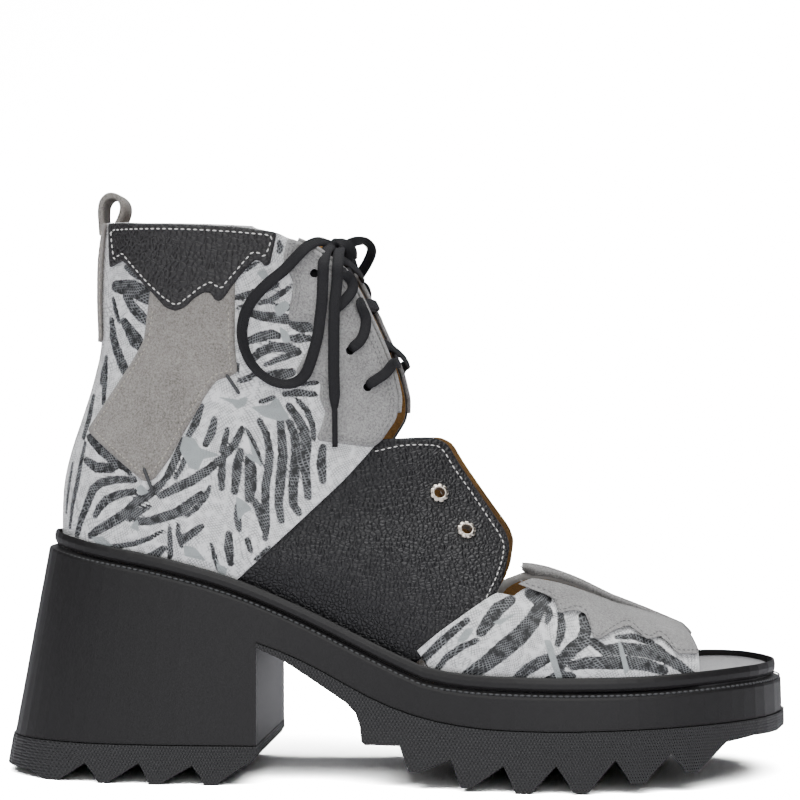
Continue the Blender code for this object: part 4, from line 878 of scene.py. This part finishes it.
FACING = (
    (-34.6, 186.1), (-29.9, 184.4), (-25.4, 182.2), (-20.4, 178.2), (-15.9, 174.5), (-10.7, 164.8),
    (-4.3, 150.8), (0.1, 139.8), (2.1, 131.0), (1.7, 124.0), (-3.6, 116.0), (-6.4, 114.2), (-16.0, 115.4),
    (-25.4, 116.7), (-23.6, 121.0), (-22.0, 126.5), (-24.2, 131.6), (-23.6, 137.0), (-29.0, 137.4),
    (-32.4, 139.8), (-29.6, 144.9), (-26.4, 150.4), (-26.3, 157.0), (-34.6, 157.4), (-33.8, 163.5),
    (-32.6, 170.0), (-34.4, 174.6), (-36.2, 178.4),
)
sides = ((-1, "outer"), (1, "inner"))

# Collar patches: black pebbled leather with a wavy cut edge, a white stitch all round.
# Side patches: warm grey suede cut as a slanted strip with a notched top, beige stitch, two dark tacks.
# Facings: cool grey suede along the throat, over the laces' holes, stitched in grey.
for side, word in sides:
    collar_ring = eased(COLLAR_PATCH, 1.2)
    side_ring = eased(SIDE_PATCH, 1.6)
    facing_ring = eased(FACING, 2.0)
    collar = panel(f"collar_patch_{word}_look", collar_ring, side, 0.9, 0.9, [black_grain, black_edge])
    patch = panel(f"side_patch_{word}_look", side_ring, side, 0.0, 1.0, [warm_suede, warm_suede])
    facing = panel(f"facing_{word}_look", facing_ring, side, 0.0, 1.2, [cool_suede, cool_suede], holes=HOLES)
    for piece, node in ((collar, "collar_patch"), (patch, "side_patch"), (facing, "facing")):
        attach(piece, "root")
        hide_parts(f"{node}_{word}")
    stitches(f"collar_stitch_{word}", [on_form(eased(COLLAR_STITCH, 0.8), side, 1.85)], white_thread,
             2.2, 1.5, 0.5)
    stitches(f"patch_stitch_{word}", [inset_line(side_ring, 2.0, 1.05, side, lambda x, z: z < 161.0)],
             beige_thread, 1.9, 1.0, 0.4)
    stitches(f"facing_stitch_{word}", [inset_line(facing_ring, inset, 1.25, side) for inset in (1.3, 2.5)],
             grey_thread, 1.9, 1.3, 0.35)
    tacks = [on_form([(x0 + (x1 - x0) * u, z0 + (z1 - z0) * u) for u in (0.0, 0.5, 1.0)], side, 1.4)
             for x0, z0, x1, z1 in ((-55.0, 138.4, -51.8, 133.6), (-84.0, 106.6, -81.8, 101.2))]
    stitches(f"patch_tacks_{word}", tacks, dark_thread, 1.0, 2.6, 1.3)

# Throat rims: the raw grey edges of facing and quarter, rolled out a little past the tan lining.
for side, word in sides:
    rim = on_form(eased(FACING, 2.0)[:60], side, -1.1)
    rim = rim[(rim[:, 2] > 117.0) & (rim[:, 0] > -32.0)] + (0.5, 0.0, 0.3)
    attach(ribbon(f"throat_rim_{word}", rim, (0.0, side, 0.0),
                   oval(0.8, 0.9, 10), cool_suede), "root")

# Toe patches: grey suede with a torn zigzag edge over the toe vamp, open at the middle and at the tip.
TOE_PATCH = (
    (42.6, 68.6), (47.0, 66.8), (51.1, 65.4), (55.3, 63.4), (57.1, 58.9), (62.2, 59.7), (65.7, 58.6),
    (67.1, 55.4), (68.4, 51.0), (70.5, 50.6), (75.3, 53.3), (80.3, 54.5), (86.4, 50.0), (90.7, 50.8),
    (94.1, 48.0), (96.1, 45.4), (103.0, 44.6), (114.0, 60.0), (70.0, 86.0), (44.0, 92.0),
)
toes = wall("toe_patches", 7.0, 15.0, tall, wide, -1.2, 1.1, [cool_suede] * 3)
cut(toes, cut_prism(eased(TOE_PATCH, 0.8, 4.0), cool_suede), "INTERSECT")
cut(toes, cut_prism([(x, y * 0.985) for x, y in TOE_SLIT], cool_suede, "z"))
cut(toes, cut_prism(PEEP, cool_suede, "z"))
# Toe lining: the grey suede inside the toe vamp, its colour darkened as painted shade.
TOE_LINING = ((54.0, 48.0), (52.0, 90.0), (114.0, 90.0), (114.0, 48.0))
toe_lining = wall("toe_lining", 7.0, 15.0, 60, 70, -WALL - 0.7, -WALL - 0.05, [shade_painted_suede] * 3)
cut(toe_lining, cut_prism(TOE_LINING, shade_painted_suede), "INTERSECT")
cut(toe_lining, cut_prism(TOE_SLIT, shade_painted_suede, "z"))
cut(toe_lining, cut_prism(PEEP, shade_painted_suede, "z"))
for piece in (toes, toe_lining):
    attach(piece, "root")
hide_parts("toe_patch_outer", "toe_patch_inner")
zigzag = curve_through([(x, 0.0, z + 1.3) for x, z in TOE_PATCH[:17]], 4)[:, [0, 2]]
stitches("toe_patch_stitch", [on_form(zigzag, side, 1.15) for side in (-1, 1)], grey_thread, 2.0, 1.4, 0.45)

# Back strip and pull loop: grey suede up the heel seam, looped over the collar.
BACK_STRIP = ((-130.0, 193.2), (-101.2, 193.2), (-103.2, 168.0), (-103.4, 152.0), (-130.0, 152.0))
back = wall("back_strip_look", 0.0, 6.0, 50, wide, 0.1, 1.3, [warm_suede] * 3)
cut(back, cut_prism(BACK_STRIP, warm_suede), "INTERSECT")
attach(back, "root")
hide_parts("back_strip")
back_line = [(-103.6, z) for z in np.linspace(154, 190, 18)]
stitches("back_strip_stitch", [on_form(back_line, side, 1.35) for side in (-1, 1)],
         beige_thread, 2.3, 1.3, 0.45)

PULL = (
    (-104.9, 190.0), (-105.2, 194.0), (-105.4, 198.0), (-104.9, 201.6), (-102.9, 203.9), (-100.2, 203.9),
    (-98.0, 202.0), (-97.4, 199.2), (-98.4, 195.8), (-99.8, 192.6), (-100.1, 188.0), (-100.8, 182.5),
)
STRAP = ((-1, -0.5), (-0.97, -0.95), (-0.5, -1), (0, -1), (0.5, -1), (0.97, -0.95),
         (1, -0.5), (1, 0.5), (0.97, 0.95), (0.5, 1), (0, 1), (-0.5, 1), (-0.97, 0.95), (-1, 0.5))
strap = [(half * 6.0, rise * 1.05) for half, rise in STRAP]
path = curve_through([(x, 0.0, z) for x, z in PULL], 5)
middle = np.array((-101.4, 0.0, 192.0))
away = (path - middle) / np.linalg.norm(path - middle, axis=1)[:, None]
pull = ribbon("pull_loop_look", path, away, strap, warm_suede)
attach(pull, "root")
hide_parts("pull_loop")

# SOLE
# Black moulded units: smooth platform and heel, textured rubber lugs, rounded rand, grained insole.
smooth_unit, tree, shader = new_material("smooth_black_unit", 0.45, Base_Color=(0.012, 0.0115, 0.012, 1),
                                         Specular_IOR_Level=0.35)
where = add(tree, "ShaderNodeTexCoord").outputs["Object"]
skin = add(tree, "ShaderNodeTexNoise", Vector=where, Scale=2500.0, Detail=3.0)
bump(tree, shader, skin.outputs["Fac"], 0.00004)
knurl, tree, shader = new_material("knurled_rubber", 0.5, Base_Color=(0.015, 0.015, 0.016, 1))
axes = add(tree, "ShaderNodeSeparateXYZ", i0=add(tree, "ShaderNodeTexCoord").outputs["Object"])
around = math_node(tree, "MULTIPLY_ADD", axes.outputs["Y"], 0.9, axes.outputs["X"])
rows_up = math_node(tree, "MULTIPLY", axes.outputs["Z"], 1000.0)
step_aside = math_node(tree, "MULTIPLY", math_node(tree, "FLOOR", rows_up), 0.5)
columns = math_node(tree, "MULTIPLY_ADD", around, 950.0, step_aside)
bead = [math_node(tree, "FRACT", place) for place in (columns, rows_up)]
bead = [math_node(tree, "ABSOLUTE", math_node(tree, "SUBTRACT", place, 0.5)) for place in bead]
bead = [math_node(tree, "POWER", place, 2.0) for place in bead]
rise = math_node(tree, "MULTIPLY_ADD", math_node(tree, "ADD", *bead), -4.0, 1.0, clamp=True)
bump(tree, shader, math_node(tree, "SQRT", rise), 0.00035)
footbed_leather = grain_leather("footbed_leather", (0.03, 0.03, 0.034), 0.33, 900.0, 0.00015)
# Faces that meet at less than 32 degrees share their shading, before any bevel is set.
soft_shading = bpy.data.node_groups.new("soft_shading", "GeometryNodeTree")
soft_shading.interface.new_socket("Mesh", in_out="INPUT", socket_type="NodeSocketGeometry")
soft_shading.interface.new_socket("Mesh", in_out="OUTPUT", socket_type="NodeSocketGeometry")
given, result = soft_shading.nodes.new("NodeGroupInput"), soft_shading.nodes.new("NodeGroupOutput")
bend = add(soft_shading, "GeometryNodeInputMeshEdgeAngle").outputs[0]
crease = add(soft_shading, "FunctionNodeCompare", operation="GREATER_THAN", i0=bend, i1=math.radians(32))
shaded = add(soft_shading, "GeometryNodeSetShadeSmooth", domain="FACE", Geometry=given.outputs[0])
creased = add(soft_shading, "GeometryNodeSetShadeSmooth", domain="EDGE", Geometry=shaded.outputs[0],
              Selection=crease.outputs[0], Shade_Smooth=False)
soft_shading.links.new(creased.outputs[0], result.inputs[0])
for node, finish, edge in (("midsole", smooth_unit, 0.0005), ("rand", smooth_unit, 0.0),
                           ("insole", footbed_leather, 0.0), ("outsole_forefoot", knurl, 0.0012),
                           ("outsole_heel", knurl, 0.0012)):
    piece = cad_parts[node]
    piece.data.materials.clear()
    piece.data.materials.append(finish)
    piece.modifiers.new("soft_shading", "NODES").node_group = soft_shading
    if edge:
        rounding = piece.modifiers.new("rounding", "BEVEL")
        rounding.width = edge
        rounding.segments = 3
        rounding.limit_method = "ANGLE"
        rounding.angle_limit = math.radians(40)
        rounding.harden_normals = True
ring = foot_ring(8)
welt = grow(ring, 4.0)
height = edge_height(ring[:, 0]) + 0.95
stitches("welt_stitch", [np.column_stack((welt, height))], dark_thread, 2.1, 1.9, 0.8)

band_line = curve_through([(x, 0.0, z) for x, z in BAND_STITCH], 6)[:, [0, 2]]
stitches("band_stitch", [on_form(band_line, side, -0.5) for side in (-1, 1)], white_thread, 2.2, 1.5, 0.45)

# EYELETS
# Nickel flower eyelets in the band, two on each side.
nickel, tree, shader = new_material("pale_nickel", 0.32, Base_Color=(0.72, 0.66, 0.58, 1), Metallic=1.0)
for side, word in sides:
    for number, (x, z) in enumerate(((16.1, 98.4), (25.6, 85.9)), 1):
        here, ahead_of, over = on_form(((x, z), (x + 1, z), (x, z + 1)), side, -0.65)
        right_way, up_way = ahead_of - here, over - here
        out = np.cross(right_way, up_way)
        out *= side * np.sign(out[1]) / np.linalg.norm(out)
        right_way /= np.linalg.norm(right_way)
        up_way = np.cross(out, right_way)
        points, faces = [], []
        profile = ((1.75, -2.4), (1.75, 0.6), (1.85, 1.0), (2.1, 1.2), (2.4, 1.1), (2.6, 0.9), (2.9, 0.85),
                   (3.2, 0.75), (3.35, 0.4), (3.3, 0.0))
        steps = 72
        for k in range(steps):
            a = math.tau * k / steps
            petal = abs(math.cos(4.5 * a))**0.5
            for radius, rise in profile:
                share = max(radius - 2.3, 0.0)
                reach = radius - share * 0.55 * (1 - petal)
                round_way = right_way * math.cos(a) + up_way * math.sin(a)
                points.append(here + out * (rise - share * 0.25 * (1 - petal)) + round_way * reach)
        m = len(profile)
        for k in range(steps):
            this, following = k * m, ((k + 1) % steps) * m
            faces += [(this + j, following + j, following + j + 1, this + j + 1) for j in range(m - 1)]
        piece = make_mesh(f"eyelet_{word}_{number}_look", points, faces, [nickel])
        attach(piece, "root")
        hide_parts(f"eyelet_{word}_{number}")
        if side < 0:
            cut(band, cut_prism(oval(1.8, 1.8, 24, (x, z)), black_edge))

# LACES
# Flat black waxed lace, ribbed lengthwise: three pairs of runs through the facings' holes, and a bow.
# Each length is one flat section swept along a route that lies on the facings and over the throat's edges.
lace, tree, shader = new_material("black_waxed_lace", 0.7, Base_Color=(0.011, 0.011, 0.013, 1),
                                  Specular_IOR_Level=0.3)
where = add(tree, "ShaderNodeTexCoord").outputs["Object"]
wax = add(tree, "ShaderNodeTexNoise", Vector=where, Scale=2600.0, Detail=3.0)
bump(tree, shader, wax.outputs["Fac"], 0.0003)
LACE_WIDTH = 3.9
section = []
for k in range(44):
    a = math.tau * k / 44
    rib = 1.0 + 0.2 * math.cos(6 * math.pi * math.cos(a))
    section.append((LACE_WIDTH / 2 * math.copysign(abs(math.cos(a))**0.7, math.cos(a)),
                    0.6 * rib * math.copysign(abs(math.sin(a))**0.6, math.sin(a))))


def clear_of(route, side, away=2.3):
    """A route of x, y and height kept off the pieces laid over the form, beside the boot."""
    route = np.array(route, float)
    skin = width(route[:, 0], route[:, 2], side)
    beside = np.abs(route[:, 1]) > 22.0
    route[beside, 1] = side * np.maximum(np.abs(route[beside, 1]), skin[beside] + away)
    return route


NEAR_LOOP = (
    (-20.4, -4.6, 184.4), (-22.4, -12.0, 185.0), (-25.2, -21.9, 185.2), (-28.6, -30.6, 182.2),
    (-35.2, -23, 175.0), (-40.8, -23, 170.3), (-45.4, -23, 165.6), (-48.4, -23, 160.8),
    (-49.8, -23, 155.7), (-49.8, -23, 151.0), (-48.6, -23, 146.5), (-46.4, -23, 142.4),
    (-43.4, -23, 139.2), (-39.4, -23, 136.7), (-35.3, -23, 135.9), (-31.5, -23, 136.7),
    (-28.7, -23, 139.1), (-27.0, -23, 143.0), (-25.5, -23, 147.9), (-24.4, -23, 152.7),
    (-23.6, -23, 158.7), (-23.0, -23, 164.8), (-22.8, -23, 171.0), (-22.6, -27.5, 177.6),
    (-22.2, -21.9, 182.2), (-21.4, -12.0, 184.4), (-20.4, -5.6, 183.6),
)
FAR_LOOP = (
    (-20.2, 4.4, 184.8), (-17.6, 8.0, 187.0), (-15.0, 11.5, 188.2), (-12.2, 15.0, 188.0),
    (-10.9, 18.6, 185.4), (-13.0, 23.5, 181.4), (-16.6, 27.4, 176.6), (-20.6, 23, 169.0),
    (-23.9, 23, 160.0), (-25.6, 23, 150.0), (-27.2, 23, 143.6), (-29.4, 23, 139.0), (-32.8, 23, 135.6),
    (-37.4, 23, 134.6), (-42.2, 23, 136.4), (-46.8, 23, 140.4), (-50.0, 23, 146.1), (-51.2, 23, 152.4),
    (-49.8, 23, 159.8), (-45.0, 23, 166.2), (-39.0, 23, 171.8), (-32.6, 23, 177.0), (-28.4, 29.4, 183.6),
    (-25.6, 22.5, 188.4), (-23.6, 13.0, 187.6), (-21.4, 5.4, 185.4),
)
END = (
    (-20.0, -5.0, 182.6), (-19.0, -13.0, 183.2), (-18.4, -20.0, 181.2), (-18.0, -25.8, 176.8),
    (-18.2, -23, 170.6), (-18.8, -23, 163.4), (-19.0, -23, 156.5), (-19.0, -23, 148.7),
    (-19.0, -23, 139.9), (-18.8, -23, 133.1), (-18.7, -23, 127.6),
)
for side, word in sides:
    route = clear_of(NEAR_LOOP if side < 0 else FAR_LOOP, side)
    path = curve_through(route, 6)
    share = np.linspace(0.0, 1.0, len(path))
    tilt = np.interp(share, (0.0, 0.12, 0.3, 0.52, 0.66, 1.0), (0.2, 0.5, 0.75, 1.0, 0.1, 0.0))
    facing_way = np.column_stack((0.8 * tilt, np.full(len(path), side), tilt))
    loop = ribbon(f"lace_loop_{word}_look", path, facing_way, section, lace)
    end_route = clear_of([(x, -side * y, z) for x, y, z in END], side, 3.1)
    end_path = curve_through(end_route, 5)
    narrow = np.interp(end_path[:, 2], (127.6, 131.5, 140.0), (0.55, 0.98, 1.0))
    end = ribbon(f"lace_end_{word}_look", end_path, (0.1, side, 0.1), section, lace, narrow)
    tip_path = np.linspace(end_path[-1] + (0.0, 0.0, 1.0), end_path[-1] + (0.0, -side * 0.4, -13.2), 8)
    tip = ribbon(f"lace_tip_{word}_look", tip_path, (0.0, side, 0.0),
                 oval(0.95, 0.85, 12), lace)
    for piece in (loop, end, tip):
        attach(piece, "root")
        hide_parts(piece.name[:-5])

# Runs over the throat: each leaves a hole, lies on its facing, and goes over the edge and under the far one.
RUNS = (
    # hole first, then the way over the facing to its edge; the last place is on the far edge
    ((-8.1, 134.9), (-6.8, 136.2), (-4.3, 137.9), (-1.8, 139.9), (0.4, 142.9), (-4.8, 149.4)),
    ((-13.8, 147.4), (-12.6, 148.6), (-10.4, 150.8), (-9.0, 154.3), (-8.8, 158.7), (-10.6, 163.6),
     (-11.6, 163.4)),
    ((-18.6, 161.3), (-17.6, 162.4), (-15.2, 165.2), (-13.2, 168.6), (-13.8, 171.8), (-16.2, 174.2),
     (-19.2, 178.6)),
)
for number, (hole, *laid, far_edge) in enumerate(RUNS, 1):
    for side, word in sides:
        *laid_on, near_edge = on_form(laid, side, 2.1)
        mouth = on_form((hole,), side, 0.9)[0] + (0.5, 0.0, 0.5)
        route = [*on_form((hole,), side, -1.6), mouth, *laid_on, near_edge]
        x, z = far_edge
        reach = width(np.array((laid[-1][0], x)), np.array((laid[-1][1], z)), side)
        lift = 1.2 if side < 0 else 2.6
        route += [(laid[-1][0] + lift * 0.8, side * reach[0] * 0.72, laid[-1][1] + lift * 0.5),
                  ((laid[-1][0] + x) / 2 + lift, 0.0, (laid[-1][1] + z) / 2 + lift * 0.45),
                  (x + 1.6, -side * reach[1] * 0.72, z + 0.6), (x - 2.2, -side * (reach[1] - 3.4), z - 1.2)]
        path = curve_through(route, 8)
        share = np.linspace(0.0, len(route) - 1.0, len(path))
        over = np.clip((share - len(laid)) / 1.6, 0.0, 1.0)[:, None]
        facing_way = (1 - over) * np.array((0.1, side, 0.1)) + over * np.array((0.91, 0.0, 0.42))
        piece = ribbon(f"lace_run_{number}_{word}", path, facing_way, section, lace,
                       np.interp(share, (0.0, 1.0, 2.2), (0.6, 0.7, 0.95)))
        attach(piece, "root")
        if side < 0:
            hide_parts(f"lace_cross_{number}")

# The lace's dark turns behind the holes.
for side, word in sides:
    points, faces = [], []
    for x, z in HOLES:
        first = len(points)
        points += list(on_form(oval(2.0, 2.0, 16, (x, z)), side, -2.1))
        faces.append(tuple(range(first, first + 16)))
    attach(make_mesh(f"lace_behind_holes_{word}", points, faces, [lace]), "root")

# Knot: a rounded heart with three turns of the lace drawn over it.
heart = np.array((-20.0, 0.0, 183.0))
bpy.ops.mesh.primitive_uv_sphere_add(segments=24, ring_count=16, radius=MM)
knot = bpy.context.object
knot.name = "lace_knot_look"
knot_place = Matrix.Translation(Vector(heart - CENTRE) * MM)
knot.data.transform(knot_place @ Matrix.Diagonal((2.9, 4.6, 2.9, 1.0)))
knot.data.materials.append(lace)
knot.data.shade_smooth()
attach(knot, "root")
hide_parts("lace_knot")
TURNS = (
    # places round the heart, then the way the flat of the lace faces
    (((-2.6, -3.2, -3.4), (-3.0, -5.6, 0.6), (0.4, -6.2, 3.0), (3.4, -5.4, 1.4), (4.0, -4.0, -2.4)),
     (0.0, -1.0, 0.5)),
    (((-3.0, 3.4, -2.4), (-2.6, 5.4, 1.4), (0.2, 5.6, 3.2), (3.2, 4.4, 1.6), (3.8, 2.0, -2.0)),
     (0.0, 1.0, 0.5)),
    (((1.4, -5.6, 2.8), (3.8, -4.6, 2.0), (4.8, -2.6, -0.6), (3.4, -0.6, -3.4), (0.0, 0.4, -4.2)),
     (1.0, -0.5, 0.2)),
)
for number, (places, way) in enumerate(TURNS, 1):
    turn = ribbon(f"lace_knot_turn_{number}", curve_through(np.array(places) + heart, 8), way, section, lace)
    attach(turn, "root")

# STAGE
# Pale floor that curves up behind, white to the camera and dim to the boot, and soft studio light.
floor_white, tree, shader = new_material("pale_floor", 0.8, Specular_IOR_Level=0.0)
seen = add(tree, "ShaderNodeLightPath").outputs["Is Camera Ray"]
white = mix_colour(tree, seen, (0.035, 0.035, 0.037, 1), (0.95, 0.95, 0.95, 1))
tree.links.new(white, shader.inputs["Base Color"])
profile = [(-4.0, 0.0), (1.2, 0.0)]
profile += [(1.2 + 1.5 * math.sin(a), 1.5 - 1.5 * math.cos(a)) for a in np.linspace(0.1, math.pi / 2, 12)]
profile.append((2.7, 5.0))
count = len(profile)
mesh = bpy.data.meshes.new("floor")
mesh.from_pydata([(x, y, z) for x in (-5.0, 5.0) for y, z in profile], [],
                 [(k, k + 1, count + k + 1, count + k) for k in range(count - 1)])
mesh.materials.append(floor_white)
mesh.shade_smooth()
floor = bpy.data.objects.new("floor", mesh)
bpy.context.collection.objects.link(floor)
only_floor = bpy.data.collections.new("floor_light_falls_on")
only_floor.objects.link(floor)
only_insole = bpy.data.collections.new("insole_light_falls_on")
only_insole.objects.link(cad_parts["insole"])
for name, place, aim, power, width_m, height_m, receivers in (
        ("light_top", (0.0, -0.15, 1.3), (0.0, 0.0, 0.1), 22.0, 1.3, 0.9, None),
        ("light_left", (-1.0, -1.2, 0.9), (0.0, 0.0, 0.12), 4.0, 0.9, 1.2, None),
        ("light_front", (0.2, -1.7, 0.8), (0.0, 0.0, 0.1), 17.0, 1.4, 1.0, None),
        ("light_back", (0.25, 1.1, 0.35), (0.1, 0.0, 0.04), 5.0, 1.2, 0.7, only_insole),
        ("light_floor", (0.0, -0.5, 1.5), (0.0, 0.0, 0.0), 760.0, 2.6, 1.6, only_floor),
        ("light_backdrop", (0.0, -1.5, 3.4), (0.0, 2.4, 0.9), 3400.0, 4.0, 1.0, only_floor)):
    lamp = bpy.data.lights.new(name, "AREA")
    lamp.shape = "RECTANGLE"
    lamp.energy = power
    lamp.size = width_m
    lamp.size_y = height_m
    light = bpy.data.objects.new(name, lamp)
    turned = (Vector(aim) - Vector(place)).to_track_quat("-Z", "Y").to_matrix().to_4x4()
    light.matrix_world = Matrix.Translation(place) @ turned
    bpy.context.collection.objects.link(light)
    light.visible_camera = False
    if receivers:
        light.light_linking.receiver_collection = receivers
world = bpy.data.worlds.new("studio")
world.use_nodes = True
tree = world.node_tree
axes = add(tree, "ShaderNodeSeparateXYZ", i0=add(tree, "ShaderNodeTexCoord").outputs["Generated"])
glow = math_node(tree, "MULTIPLY_ADD", axes.outputs["Y"], -0.34, 0.0)
glow = math_node(tree, "MAXIMUM", glow, 0.04)
above = math_node(tree, "MAXIMUM", axes.outputs["Z"], 0.0)
glow = math_node(tree, "MULTIPLY_ADD", above, 0.24, glow)
tree.links.new(glow, tree.nodes["Background"].inputs["Strength"])
bpy.context.scene.world = world
